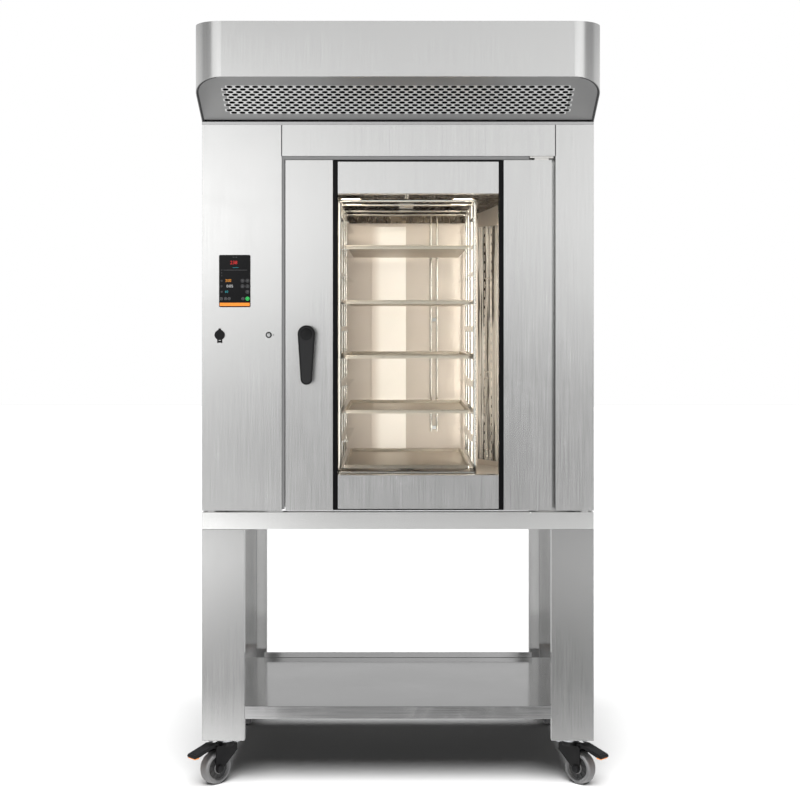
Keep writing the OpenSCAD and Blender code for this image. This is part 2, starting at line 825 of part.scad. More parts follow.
// Steam pipe from the chamber's ceiling into the hood, with its flange
module vent_duct() color("lightsteelblue") in_place() difference() {
  low = ceiling_z + liner;
  high = hood_z + 30;
  union() {
    rod([vent_x, vent_y, low], vent_d, high - low, "z");
    rod([vent_x, vent_y, low], vent_d + 24, liner, "z");
  }
  rod([vent_x, vent_y, low - cut], vent_d - 2 * vent_wall, high - low + 2 * cut, "z");
  rod([vent_x - vent_d, vent_y, flap_z], flap_pin_d + 2 * run_gap, 2 * vent_d, "x");
}

module vent_flap() color("slategray") in_place() {
  arm_x = vent_x - vent_d / 2 - 14;
  rod([vent_x, vent_y, flap_z - 1], vent_d - 2 * vent_wall - 4 * run_gap, 2, "z");
  rod([arm_x, vent_y, flap_z], flap_pin_d, vent_d + 18, "x");
  block([arm_x, vent_y - 4, flap_z - 4], [arm_x + 4, vent_y + 4, flap_z + 24]);
}

// In-line exhaust fan: tube with bell mouth below the hood's roof, spigot above it
module blower_case() color("lightsteelblue") in_place() {
  inner = spigot_d - 2 * blower_wall;
  high = hood_top + spigot_h;
  difference() {
    union() {
      rod([spigot_x, spigot_y, blower_low], spigot_d, high - blower_low, "z");
      rod([spigot_x, spigot_y, hood_top - skin - 4], spigot_d + 60, 4, "z");
      rod([spigot_x, spigot_y, hood_top + seam], spigot_d + 60, skin, "z");
      rod([spigot_x, spigot_y, blower_low], spigot_d + 30, 4, "z");
    }
    rod([spigot_x, spigot_y, blower_low - cut], inner, high - blower_low + 2 * cut, "z");
  }
  difference() {
    union() {
      rod([spigot_x, spigot_y, blower_low + 70], blower_hub_d, 60, "z");
      for (a = [0, 60, 120]) translate([spigot_x, spigot_y, blower_low + 90]) rotate([0, 0, a])
        cube([inner + blower_wall, 3, 30], center = true);
    }
    rod([spigot_x, spigot_y, blower_low + 69], blower_pin_d + 2 * run_gap, 42, "z");
  }
}

module blower_wheel() color("slategray") in_place() translate([spigot_x, spigot_y, blower_low + 20]) {
  cylinder(d = blower_hub_d - 6, h = 34);
  cylinder(d = blower_pin_d, h = 80);
  for (i = [0 : 6]) rotate([0, 0, i * 360 / 7]) intersection() {
    translate([0, -2, 0]) cube([spigot_d, 26, 34]);
    cylinder(d = spigot_d - 2 * blower_wall - 5, h = 34);
    translate([20, 0, 17]) rotate([38, 0, 0]) translate([0, -20, -1]) cube([spigot_d, 40, 2]);
  }
}

// CHAMBER

module mouth_frame() color("silver") in_place() difference() {
  block([recess_l, recess_d, body_z + skin], [recess_r, frame_y, lintel_z]);
  block([mouth_l, recess_d - cut, floor_z], [mouth_r, frame_y + cut, ceiling_z - mouth_top]);
}

// Right wall, right corner, back, left corner of the chamber from one folded sheet
module chamber_walls() color("wheat") in_place()
  upright([
    [chamber_l, corner_y], [chamber_l + corner_w, chamber_back], [chamber_r - corner_w, chamber_back],
    [chamber_r, corner_y], [chamber_r, frame_y]
  ], liner, floor_z, ceiling_z);

// The chamber's plan between its walls
module chamber_plan(inset) {
  polygon([
    [chamber_l + inset, frame_y], [chamber_r - inset, frame_y],
    [chamber_r - inset, corner_y], [chamber_r - corner_w - inset, chamber_back - inset],
    [chamber_l + corner_w + inset, chamber_back - inset], [chamber_l + inset, corner_y]
  ]);
}

module chamber_ceiling() color("darkkhaki") in_place() {
  knee = [chamber_back - 10, ceiling_z - 0.5 * deflector_drop];
  end = [chamber_back, ceiling_z - deflector_drop];
  difference() {
    translate([0, 0, ceiling_z]) linear_extrude(liner) chamber_plan(-liner);
    rod([vent_x, vent_y, ceiling_z - cut], vent_d - 2 * vent_wall, liner + 2 * cut, "z");
    rod([rack_x, rack_y, ceiling_z - cut], drive_d + 2 * run_gap, liner + 2 * cut, "z");
    for (at = lamp_places) rod([at.x, at.y, ceiling_z - cut], lamp_d + 2 * seam, liner + 2 * cut, "z");
  }
  difference() {
    intersection() {
      lying([[corner_y, ceiling_z], knee, end], liner, -half_w, half_w);
      translate([0, 0, floor_z]) linear_extrude(chamber_h + liner / 2) chamber_plan(2 * seam);
    }
    for (side = [-1, 1])
      rod([pipe_x + side * pipe_gap / 2, pipe_y, floor_z], water_d + 2 * seam, chamber_h, "z");
  }
}

module chamber_floor() color("tan") in_place() {
  drain_low = body_z - drain_reach;
  difference() {
    translate([0, 0, floor_z - liner]) linear_extrude(liner) chamber_plan(-liner);
    rod([drain_at.x, drain_at.y, floor_z - liner - cut], drain_d - 4, liner + 2 * cut, "z");
  }
  difference() {
    union() {
      rod([drain_at.x, drain_at.y, drain_low], drain_d, floor_z - liner - drain_low, "z");
      translate([drain_at.x, drain_at.y, body_z - seam - nut_t])
        cylinder(d = drain_d + 18, h = nut_t, $fn = 6);
    }
    rod([drain_at.x, drain_at.y, drain_low - cut], drain_d - 4, floor_z, "z");
  }
  rod([rack_x, rack_y, floor_z], 60, 3, "z");
  rod([rack_x, rack_y, floor_z], pivot_d, 22, "z");
}

// Ring-shaped slots of the fan's guard, crossed by spokes
module fan_guard() {
  for (i = [0 : guard_rings - 1]) difference() {
    circle(guard_hub_d / 2 + i * guard_pitch + guard_slot);
    circle(guard_hub_d / 2 + i * guard_pitch);
    for (a = [0, 60, 120]) rotate([0, 0, a])
      square([guard_hub_d + 2 * guard_rings * guard_pitch, 8], center = true);
  }
}

// The chamber's left wall in front of the fan: guard in the middle, outlet slots at both ends
module air_baffle() color("wheat") in_place() difference() {
  pitch = chamber_h / 10;
  block([chamber_l - liner, frame_y, floor_z], [chamber_l, corner_y - seam, ceiling_z]);
  translate([chamber_l - liner / 2, fan_y, fan_z]) rotate([0, 90, 0])
    linear_extrude(4 * liner, center = true) fan_guard();
  for (y = [frame_y + 50, corner_y - 50], i = [-4 : 4])
    translate([chamber_l, y, fan_z + i * pitch]) cube([4 * liner, 18, 0.73 * pitch], center = true);
}

// The box that holds fan and heating rods beside the chamber
module plenum_shell() color("silver") in_place() difference() {
  union() {
    upright([
      [chamber_l - liner, frame_y], [plenum_l, frame_y], [plenum_l, corner_y], [chamber_l - liner, corner_y]
    ], -liner, floor_z, ceiling_z);
    for (z = [floor_z, ceiling_z - liner])
      block([plenum_l + liner, frame_y + liner, z], [chamber_l - liner, corner_y - liner, z + liner]);
  }
  rod([plenum_l - cut, fan_y, fan_z], fan_shaft_d + 2 * run_gap, 4 * liner, "x");
}

module insulation() color("khaki") in_place() {
  outer = wool + plenum_d;
  right = chamber_r + liner;
  back = chamber_back + liner;
  difference() {
    union() {
      block([chamber_l - outer, frame_y + seam, floor_z], [plenum_l - seam, corner_y, ceiling_z]);
      block([right, frame_y + seam, floor_z], [right + wool, chamber_back, ceiling_z]);
      block([chamber_l, back, floor_z], [right - seam, back + wool, ceiling_z]);
    }
    rod([plenum_l - wool - cut, fan_y, fan_z], motor_d + 2, wool + 2 * cut, "x");
  }
  difference() {
    block([chamber_l - liner, frame_y + seam, ceiling_z + liner], [right, back, wool_top]);
    rod([vent_x, vent_y, ceiling_z], vent_d + 26, 2 * wool, "z");
    rod([rack_x, rack_y, ceiling_z], 64, 2 * wool, "z");
    for (at = lamp_places) rod([at.x, at.y, ceiling_z], lamp_d + 22, 2 * wool, "z");
  }
  difference() {
    block([chamber_l - liner, frame_y + seam, wool_floor], [right, back, floor_z - liner]);
    rod([drain_at.x, drain_at.y, body_z], drain_d + 2 * seam, chamber_up, "z");
  }
}

// Fan motor with cooling ribs on the plenum's back wall
module fan_motor() color("slategray") in_place()
  translate([plenum_l, fan_y, fan_z]) rotate([0, -90, 0]) difference() {
    union() {
      cylinder(d = motor_d, h = 6);
      cylinder(d = motor_d - 24, h = motor_l);
      for (i = [0 : 23]) rotate([0, 0, i * 15])
        translate([motor_d / 2 - 16, -1, 14]) cube([11, 2, motor_l - 22]);
    }
    translate([0, 0, -cut]) cylinder(d = fan_shaft_d + 2 * run_gap, h = 30 + cut);
  }

// Moves what is drawn to the fan's axis, at the given distance from the plenum's back wall
module at_fan(gap) {
  translate([plenum_l + liner + gap, fan_y, fan_z]) rotate([0, 90, 0]) children();
}

// Fan wheel: back disc, hub with shaft, curved blades and front ring
module fan_wheel() color("silver") in_place() at_fan(fan_wheel_gap) {
  blade_r = fan_d * 0.16;
  difference() {
    union() {
      cylinder(d = fan_d, h = 2);
      cylinder(d = 50, h = 24);
      translate([0, 0, -liner - fan_wheel_gap - 26])
        cylinder(d = fan_shaft_d, h = liner + fan_wheel_gap + 30);
    }
    for (a = [0, 120, 240]) rotate([0, 0, a]) translate([17, 0, 12]) cylinder(d = 5, h = 20);
  }
  difference() {
    translate([0, 0, fan_w - 2]) cylinder(d = fan_d, h = 2);
    translate([0, 0, fan_w - 2 - cut]) cylinder(d = fan_d - 70, h = 2 + 2 * cut);
  }
  for (i = [0 : fan_blades - 1]) rotate([0, 0, i * 360 / fan_blades])
    translate([fan_d / 2 - 34, 0, 0]) linear_extrude(fan_w) intersection() {
      translate([0, -blade_r]) difference() {
        circle(blade_r);
        circle(blade_r - 2);
      }
      translate([0, -blade_r]) square([32, blade_r]);
    }
}

// Ring-shaped heating rods around the fan, with clips and leads to the plenum's back wall
module heating_rods() color("dimgray") in_place() at_fan(0) {
  ring_r = fan_d / 2 + 28;
  pitch = rod_d + 11;
  for (i = [0 : rod_rings - 1]) translate([0, 0, 18 + i * pitch])
    rotate_extrude($fn = 48) translate([ring_r, 0]) circle(d = rod_d, $fn = 24);
  for (a = [45, 165, 285]) rotate([0, 0, a])
    translate([ring_r - 2, -3, 0]) cube([rod_d + 4, 6, 18 + rod_rings * pitch]);
  for (a = [10, 17, 24]) rotate([0, 0, a]) translate([ring_r + 1, 0, 0]) cylinder(d = rod_d, h = 17);
}

// Two upright water pipes in front of the back wall, joined by clips
module water_pipes() color("gainsboro") in_place() {
  low = floor_z + pipe_low;
  length = ceiling_z - pipe_head - low;
  pitch = (length - 2 * water_d - clip_h) / (pipe_clips - 1);
  for (side = [-1, 1])
    rod([pipe_x + side * pipe_gap / 2, pipe_y, low], water_d, length, "z");
  for (i = [0 : pipe_clips - 1]) translate([0, 0, low + water_d + i * pitch])
    block([pipe_x - pipe_gap / 2, pipe_y - 1.5, 0], [pipe_x + pipe_gap / 2, chamber_back, clip_h]);
}

// Round lamps in the ceiling: socket above, dished cover below
module chamber_lamps() color("lightyellow") in_place()
  for (at = lamp_places) translate([at.x, at.y, ceiling_z]) rotate_extrude() polygon([
    [0, -9], [0.28 * lamp_d, -8.5], [0.44 * lamp_d, -6], [lamp_d / 2 + 4, -3],
    [lamp_d / 2 + 4, 0], [lamp_d / 2, 0], [lamp_d / 2, 0.34 * lamp_d],
    [0.375 * lamp_d, 0.47 * lamp_d], [0.375 * lamp_d, 0.81 * lamp_d], [0, 0.81 * lamp_d]
  ]);

// Geared motor above the chamber: spacer tube, gearbox and motor
module rack_motor() color("slategray") in_place() {
  low = ceiling_z + liner;
  box_z = wool_top + 3;
  half_l = gear_box_l / 2;
  axis_z = box_z + gear_motor_d / 2 + 3;
  difference() {
    union() {
      rod([rack_x, rack_y, low], 58, box_z - low, "z");
      rod([rack_x, rack_y, box_z - 3], gear_box_l, 3, "z");
      block([rack_x - half_l, rack_y - 50, box_z], [rack_x + half_l, rack_y + 50, box_z + gear_box_h]);
      rod([rack_x + half_l, rack_y, axis_z], gear_motor_d, gear_motor_l, "x");
      for (x = [20 : 10 : gear_motor_l - 20])
        rod([rack_x + half_l + x, rack_y, axis_z], gear_motor_d + 6, 3, "x");
    }
    rod([rack_x, rack_y, low - cut], drive_d + 2 * run_gap, box_z + 50 - low, "z");
  }
}

module hinge_brackets() color("whitesmoke") in_place() {
  low = body_z - foot_h + run_gap;
  difference() {
    block([hinge_x - leaf_reach, 2 * skin, lintel_z - leaf_t],
      [hinge_x + leaf_reach, recess_d - skin, lintel_z]);
    rod([hinge_x, hinge_in_y, lintel_z - leaf_t - cut], hinge_pin_d + 2 * run_gap, leaf_t + 2 * cut, "z");
  }
  difference() {
    block([hinge_x - leaf_reach / 3, 2 * skin, low], [hinge_x + leaf_reach, recess_d + 60, body_z]);
    rod([hinge_x, hinge_in_y, low - cut], hinge_pin_d + 2 * run_gap, foot_h + 2 * cut, "z");
  }
}

// Keeper for the latch on the chamber's front, with a sloped lead-in
module latch_keeper() color("whitesmoke") in_place() {
  edge = recess_l + 1;
  tip = handle_x - latch_len - keeper_gap;
  translate([0, 0, handle_z - 22]) linear_extrude(44) polygon([
    [edge, recess_d], [tip, recess_d], [tip, door_t + 8], [tip - 5, door_t + 3], [edge, door_t + 3]
  ]);
}

// CONTROLS

module on_panel(x, z) {
  translate([-half_w + x, 0, body_z + z]) rotate([90, 0, 0]) children();
}

module touch_screen() color("black") in_place() on_panel(screen_x, screen_z) {
  linear_extrude(2.5) round_rect(screen_w, screen_h, 4);
  translate([0, 0, -34]) linear_extrude(34) round_rect(screen_w - 13, screen_h - 13, 2);
}

// Collar and port behind the cap, and the collar of the push button
module panel_bezels() color("black") in_place() {
  on_panel(usb_x, controls_z) difference() {
    union() {
      cylinder(d = cap_d, h = 1.5);
      translate([0, 0, -20]) cylinder(d = cap_d - 8 - 2 * seam, h = 20);
      translate([0, cap_hinge_up + 1, 1.75]) cube([6, 6, 3.5], center = true);
    }
    translate([0, 0, -4]) cube([13, 5.4, 24], center = true);
    rod([-10, cap_hinge_up, cap_z], cap_pin_d + 2 * run_gap, 20, "x");
  }
  on_panel(button_x, controls_z) difference() {
    union() {
      cylinder(d = button_ring_d, h = 2.5);
      translate([0, 0, -16]) cylinder(d = button_ring_d - 4 - 2 * seam, h = 17);
    }
    translate([0, 0, -14]) cylinder(d = button_d + 2 * run_gap, h = 30);
    translate([0, 0, -17]) cylinder(d = 4 + 2 * run_gap, h = 30);
  }
}

// Cap over the port: disc with a finger tab on top and a hinge strap below
module usb_cap() color("black") in_place() on_panel(usb_x, controls_z) {
  translate([0, 0, 1.5 + run_gap]) linear_extrude(cap_t) {
    circle(d = cap_d);
    translate([0, cap_d / 2 + 1]) round_rect(8, 7, 2);
  }
  for (side = [-1, 1]) translate([side * 5.5 - 1.8, cap_hinge_up - 3, 1.5 + run_gap])
    cube([3.6, 3 - cap_hinge_up - cap_d / 3, cap_t]);
  rod([-7, cap_hinge_up, cap_z], cap_pin_d, 14, "x");
}

module power_button() color("white") in_place() on_panel(button_x, controls_z) {
  translate([0, 0, -6]) cylinder(d = button_d, h = 9.5);
  translate([0, 0, -16]) cylinder(d = 4, h = 12);
}

// Box for the control boards on the inside of the left side panel
module control_box() color("darkgray") in_place() {
  low = [skin - half_w, frame_y + 43, body_z + screen_z];
  high = low + [board_box_d, board_box_l, board_box_h];
  block(low, high);
  for (i = [1 : 9]) translate([high.x, low.y + 20 * i, low.z + 40]) cube([12, 5, board_box_h - 100]);
}

// DOOR

// A shell with a closed face and rims, open towards the chamber
module door_shell(left, right, low, high) {
  t = door_sheet;
  difference() {
    block([left, 0, low], [right, shell_d, high]);
    block([left + t, t, low + t], [right - t, shell_d + cut, high - t]);
  }
}

module door_stiles() color("silver") in_place() difference() {
  union() {
    door_shell(door_l, door_l + stile_l, door_z, door_top);
    door_shell(door_r - stile_r, door_r, door_z, door_top);
  }
  rod([handle_x, -cut, handle_z], spindle_d + 2 * run_gap, shell_d, "y");
  rod([hinge_x, hinge_in_y, door_z - cut], hinge_pin_d + 2 * press_gap, 3 * door_sheet, "z");
}

module door_rails() color("silver") in_place() {
  l = centre_l + seam;
  r = centre_r - seam;
  door_shell(l, r, door_z + trim_h, window_z);
  door_shell(l, r, window_top, door_top - trim_h);
}

module door_trims() color("black") in_place() {
  for (x = [centre_l - trim_w + seam, centre_r])
    block([x, trim_in, door_z], [x + trim_w - seam, shell_d, door_top]);
  for (z = [door_z, door_top - trim_h])
    block([centre_l + seam, trim_in, z], [centre_r - seam, shell_d, z + trim_h - seam / 2]);
}

module outer_glass() color("lightcyan", 0.35) in_place()
  block([centre_l + seam, trim_in, window_z + seam], [centre_r - seam, trim_in + glass_t, window_top - seam]);

module inner_glass() color("lightcyan", 0.35) in_place() {
  reach = pane_reach - seam;
  block([centre_l - reach, door_t - 8 - glass_t, window_z - reach],
    [centre_r + reach, door_t - 8, window_top + reach]);
}

// Four bars around the inner pane, closing the back of the door
module door_inner_frame() color("gainsboro") in_place() difference() {
  l = centre_l - pane_reach;
  r = centre_r + pane_reach;
  low = window_z - pane_reach;
  high = window_top + pane_reach;
  union() {
    block([door_l, shell_d, door_z], [l, door_t, door_top]);
    block([r, shell_d, door_z], [door_r, door_t, door_top]);
    block([l + seam, shell_d, door_z], [r - seam, door_t, low]);
    block([l + seam, shell_d, high], [r - seam, door_t, door_top]);
  }
  rod([handle_x, shell_d - cut, handle_z], spindle_d + 2 * run_gap, shell_d, "y");
}

module door_gasket() color("dimgray") in_place() {
  w = mouth_r - mouth_l + 2 * seal_w;
  h = chamber_h - mouth_top + 2 * seal_w;
  r = 24;
  translate([(mouth_l + mouth_r) / 2, door_t, floor_z + (chamber_h - mouth_top) / 2]) rotate([-90, 0, 0]) {
    linear_extrude(5) difference() {
      round_rect(w, h, r);
      round_rect(w - 2 * seal_w + 4, h - 2 * seal_w + 4, r / 3);
    }
    translate([0, 0, 4]) linear_extrude(seal_h - 4) difference() {
      round_rect(w - 8, h - 8, r - 4);
      round_rect(w - 36, h - 36, r / 2);
    }
  }
}

module hinge_pins() color("whitesmoke") in_place() {
  leaf_top = lintel_z - leaf_t - run_gap;
  block([hinge_x - 0.6 * leaf_reach, 2 * skin + 1, door_top],
    [hinge_x + 0.6 * leaf_reach, shell_d, leaf_top]);
  rod([hinge_x, hinge_in_y, leaf_top], hinge_pin_d, leaf_t, "z");
  rod([hinge_x, hinge_in_y, body_z - foot_h + 1], hinge_pin_d, foot_h + door_lift + 20, "z");
}

// HANDLE

// The lever's outline: a round head and a smaller round tip joined by straight flanks
module lever_outline() {
  flank_in = 0.1;
  head_x = lever_head / 2 - flank_in;
  tip_x = lever_tip / 2 - flank_in;
  span = lever_len - (lever_head + lever_tip) / 2;
  circle(d = lever_head);
  translate([0, -span]) circle(d = lever_tip);
  polygon([[-head_x, 0], [-tip_x, -span], [tip_x, -span], [head_x, 0]]);
}

module handle_lever() color("black") in_place()
  translate([handle_x, 0, handle_z]) rotate([90, 0, 0]) difference() {
    union() {
      translate([0, 0, lever_standoff]) linear_extrude(lever_t) lever_outline();
      translate([0, 0, run_gap]) cylinder(d = neck_d, h = lever_standoff);
      translate([0, 0, lever_standoff + lever_t]) cylinder(d = lever_head - 16, h = 2.5);
    }
    translate([0, 0, -cut]) cylinder(d = spindle_d + 2 * press_gap, h = lever_standoff + 6);
  }

// Spindle through the door with the latch arm behind it
module latch_spindle() color("silver") in_place() {
  arm_y = door_t + 2;
  rod([handle_x, -lever_standoff - 4, handle_z], spindle_d, lever_standoff + 4 + arm_y + 8, "y");
  translate([handle_x, arm_y, handle_z]) rotate([-90, 0, 0]) linear_extrude(8) {
    circle(d = 30);
    translate([-latch_len, -9]) square([latch_len, 18]);
  }
}

// RACK

module rack_posts() {
  low = turntable_z + arm_t;
  for (x = [-1, 1], y = [-1, 1])
    rod([rack_x + x * post_x, rack_y + y * post_y, low], rack_rod, rack_top - low, "z");
}

// A rectangle of rods between the posts at one height
module rod_frame(z) {
  for (y = [-1, 1]) rod([rack_x - post_x, rack_y + y * post_y, z], rack_rod, 2 * post_x, "x");
  for (x = [-1, 1]) rod([rack_x + x * post_x, rack_y - post_y, z], rack_rod, 2 * post_y, "y");
}

// Angle runner on one side, with its top face at the given height
module runner(z) {
  outer = post_x - rack_rod / 2;
  path = [[tray_w / 2 - 14, z], [outer - 1, z], [outer - 1, z + 16]];
  translate([rack_x, rack_y + post_y, 0]) rotate([90, 0, 0]) linear_extrude(2 * post_y) folded(path, -tray_t);
}

function tray_z(i) = floor_z + tray_low + i * tray_pitch;

module rack_frame() color("gainsboro") in_place() {
  rack_posts();
  rod_frame(rack_top);
  rod_frame(rod_frame_z);
  for (y = [-1, 1]) rod([rack_x - post_x, rack_y + y * hub_span, rack_top], rack_rod, 2 * post_x, "x");
  for (i = [0 : tray_count - 1]) {
    runner(tray_z(i));
    translate([2 * rack_x, 0, 0]) mirror([1, 0, 0]) runner(tray_z(i));
  }
}

// Turntable below and driving hub with its shaft above
module rack_drive() color("darkgray") in_place() {
  hub_low = floor_z + 3 + run_gap;
  difference() {
    union() {
      rod([rack_x, rack_y, hub_low], 56, turntable_z + arm_t + 2 - hub_low, "z");
      for (a = [-1, 1]) translate([rack_x, rack_y, turntable_z]) rotate([0, 0, a * atan(post_y / post_x)])
        translate([0, 0, arm_t / 2]) cube([2 * norm([post_x, post_y]) + rack_rod, 30, arm_t], center = true);
    }
    rod([rack_x, rack_y, hub_low - cut], pivot_d + 2 * run_gap, 21, "z");
  }
  rod([rack_x, rack_y, rack_top + rack_rod / 2], drive_d, wool_top + 40 - rack_top, "z");
  block([rack_x - 24, rack_y - hub_span - 12, rack_top + rack_rod / 2],
    [rack_x + 24, rack_y + hub_span + 12, rack_top + rack_rod / 2 + 6]);
}

// A shallow tray with sloped rims and a rolled edge
module tray() {
  w = tray_w;
  l = tray_l;
  lip = 5;
  difference() {
    union() {
      translate([-w / 2 + lip, -l / 2 + lip, 0]) cube([w - 2 * lip, l - 2 * lip, tray_rim]);
      translate([0, 0, tray_rim - tray_t]) linear_extrude(tray_t) round_rect(w, l, 8);
    }
    translate([-w / 2 + lip + tray_t, -l / 2 + lip + tray_t, tray_t])
      cube([w - 2 * lip - 2 * tray_t, l - 2 * lip - 2 * tray_t, tray_rim]);
  }
}

module trays() color("whitesmoke") in_place()
  for (i = [0 : tray_count - 1]) translate([rack_x, rack_y, tray_z(i)]) tray();

stand_sides();
stand_rails();
stand_shelf();
caster_plates();
rear_forks();
side_panels();
rear_panel();
roof_panel();
base_pan();
control_panel();
lintel_panel();
right_column();
mouth_frame();
chamber_walls();
chamber_ceiling();
chamber_floor();
air_baffle();
plenum_shell();
insulation();
fan_motor();
heating_rods();
water_pipes();
chamber_lamps();
rack_motor();
hinge_brackets();
latch_keeper();
touch_screen();
panel_bezels();
control_box();
hood_shell();
hood_grille();
vent_duct();
blower_case();
service_fittings();
door_stiles();
door_rails();
door_trims();
outer_glass();
inner_glass();
door_inner_frame();
door_gasket();
hinge_pins();
handle_lever();
latch_spindle();
rack_frame();
rack_drive();
trays();
fan_wheel();
blower_wheel();
usb_cap();
power_button();
vent_flap();
front_fork_left();
front_fork_right();
front_wheel_left();
front_wheel_right();
rear_wheel_left();
rear_wheel_right();
brake_pedal_left();
brake_pedal_right();
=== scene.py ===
import json
import math
import random

import bmesh
import bpy
from mathutils import Matrix, Vector


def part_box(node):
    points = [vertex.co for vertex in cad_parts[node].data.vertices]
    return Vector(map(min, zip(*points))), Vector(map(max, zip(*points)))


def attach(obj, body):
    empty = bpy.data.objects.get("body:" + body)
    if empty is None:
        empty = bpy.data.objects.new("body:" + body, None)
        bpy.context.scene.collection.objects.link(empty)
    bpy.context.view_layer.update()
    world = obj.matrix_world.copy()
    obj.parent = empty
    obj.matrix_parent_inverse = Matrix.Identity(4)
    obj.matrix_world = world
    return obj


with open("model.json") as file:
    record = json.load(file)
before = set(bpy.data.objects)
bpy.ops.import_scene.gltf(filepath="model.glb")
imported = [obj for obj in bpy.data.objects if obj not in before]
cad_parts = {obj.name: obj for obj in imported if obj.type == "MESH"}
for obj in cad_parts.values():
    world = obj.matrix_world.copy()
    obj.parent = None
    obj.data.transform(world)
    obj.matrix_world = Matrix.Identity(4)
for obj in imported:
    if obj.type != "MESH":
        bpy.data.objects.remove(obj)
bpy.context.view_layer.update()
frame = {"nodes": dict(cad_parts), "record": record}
nodes = frame["nodes"]
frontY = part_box("door_rails")[0].y  # the plane of the door's face
random.seed(7)
scene = bpy.context.scene


def mm(x, y, z):  # millimetres behind the front plane to metres in the row frame
    return Vector((x / 1000, y / 1000 + frontY, z / 1000))


# Camera

photoCamera = {"place": (0, -4400, 1415), "lens": 64.66, "shiftX": 0.0026, "shiftY": -0.0944}

cameraData = bpy.data.cameras.new("photoCamera")
cameraData.lens = photoCamera["lens"]
cameraData.shift_x = photoCamera["shiftX"]
cameraData.shift_y = photoCamera["shiftY"]
camera = bpy.data.objects.new("photoCamera", cameraData)
camera.location = mm(*photoCamera["place"])
camera.rotation_euler = (math.radians(90), 0, 0)
scene.collection.objects.link(camera)
scene.camera = camera
scene.view_settings.view_transform = "Standard"
print("camera ready")


# Node helpers


def feed(tree, sockets, values):  # links from other nodes, or constants
    for key, value in values.items():
        if isinstance(value, bpy.types.NodeSocket):
            tree.links.new(value, sockets[key])
        else:
            sockets[key].default_value = value


def add(tree, kind, inputs=None, **settings):
    made = tree.nodes.new("ShaderNode" + kind)
    made.location = (170 * len(tree.nodes), 0)
    for key, value in settings.items():
        setattr(made, key, value)
    feed(tree, made.inputs, inputs or {})
    return made


def rgb(colour):
    return (colour[0], colour[1], colour[2], 1)


def newGroup(name, inputs, outputs):
    tree = bpy.data.node_groups.new(name, "ShaderNodeTree")
    for label, kind, value in inputs:
        socket = tree.interface.new_socket(name=label, in_out="INPUT", socket_type="NodeSocket" + kind)
        socket.default_value = value
    for label in outputs:
        tree.interface.new_socket(name=label, in_out="OUTPUT", socket_type="NodeSocketFloat")
    return tree, tree.nodes.new("NodeGroupInput").outputs, tree.nodes.new("NodeGroupOutput").inputs


def useGroup(tree, group, **inputs):
    made = tree.nodes.new("ShaderNodeGroup")
    made.node_tree = group
    made.location = (170 * len(tree.nodes), -200)
    feed(tree, made.inputs, inputs)
    return made.outputs


def math2(tree, operation, a, b=0.0):
    return add(tree, "Math", {0: a, 1: b}, operation=operation).outputs[0]


def times(tree, a, b):
    return math2(tree, "MULTIPLY", a, b)


def plus(tree, a, b):
    return math2(tree, "ADD", a, b)


def size(tree, value):  # the value without its sign
    return math2(tree, "ABSOLUTE", value)


def vector2(tree, operation, a, b, output="Vector"):
    return add(tree, "VectorMath", {0: a, 1: b}, operation=operation).outputs[output]


def split(tree, vector):
    return add(tree, "SeparateXYZ", {0: vector}).outputs


def noise(tree, place, scale, detail, **more):
    return add(tree, "TexNoise", {"Vector": place, "Scale": scale, "Detail": detail, **more}).outputs[0]


def mapRange(tree, value, low, high, newLow=0.0, newHigh=1.0, smooth=False):
    values = {0: value, 1: low, 2: high, 3: newLow, 4: newHigh}
    return add(tree, "MapRange", values, interpolation_type="SMOOTHSTEP" if smooth else "LINEAR").outputs[0]


def mixValue(tree, factor, a, b):
    return add(tree, "Mix", {0: factor, 2: a, 3: b}).outputs[0]


def mixColour(tree, factor, a, b):
    return add(tree, "Mix", {0: factor, 6: a, 7: b}, data_type="RGBA").outputs[2]


# Effects shared by the materials

atPlace = ("Place", "Vector", (0, 0, 0))


def makeBrushed():  # fine streaks of a brushed or rolled sheet, and broader bands of the same direction
    values = [atPlace, ("Grain", "Vector", (900, 900, 9))]
    tree, inputs, outputs = newGroup("brushedGrain", values, ["Streaks", "Bands"])
    fine = vector2(tree, "MULTIPLY", inputs["Place"], inputs["Grain"])
    broad = vector2(tree, "MULTIPLY", fine, (0.07, 0.07, 0.07))
    streaks = noise(tree, fine, 1.0, 3.0, Roughness=0.6)
    feed(tree, outputs, {"Streaks": streaks, "Bands": noise(tree, broad, 1.0, 2.0, Roughness=0.5)})
    return tree


def makeHandled():  # wiped areas and the marks that hands and cloths leave
    tree, inputs, outputs = newGroup("handledMarks", [atPlace, ("Size", "Float", 5.0)], ["Wiped", "Prints"])
    bent = noise(tree, inputs["Place"], inputs["Size"], 5.0, Distortion=1.6)
    wiped = mapRange(tree, bent, 0.42, 0.72, smooth=True)
    spots = noise(tree, inputs["Place"], times(tree, inputs["Size"], 9.0), 6.0, Roughness=0.7)
    prints = times(tree, mapRange(tree, spots, 0.5, 0.75, smooth=True), wiped)
    feed(tree, outputs, {"Wiped": wiped, "Prints": prints})
    return tree


def makeSpeckled():  # the fine grain of moulded plastic, powder coat and rubber
    tree, inputs, outputs = newGroup("speckledSkin", [atPlace, ("Size", "Float", 900.0)], ["Height", "Flecks"])
    grain = noise(tree, inputs["Place"], inputs["Size"], 3.0)
    cells = add(tree, "TexVoronoi", {"Vector": inputs["Place"], "Scale": times(tree, inputs["Size"], 0.45)})
    height = plus(tree, grain, times(tree, cells.outputs["Distance"], 0.5))
    feed(tree, outputs, {"Height": height, "Flecks": mapRange(tree, grain, 0.6, 0.75)})
    return tree


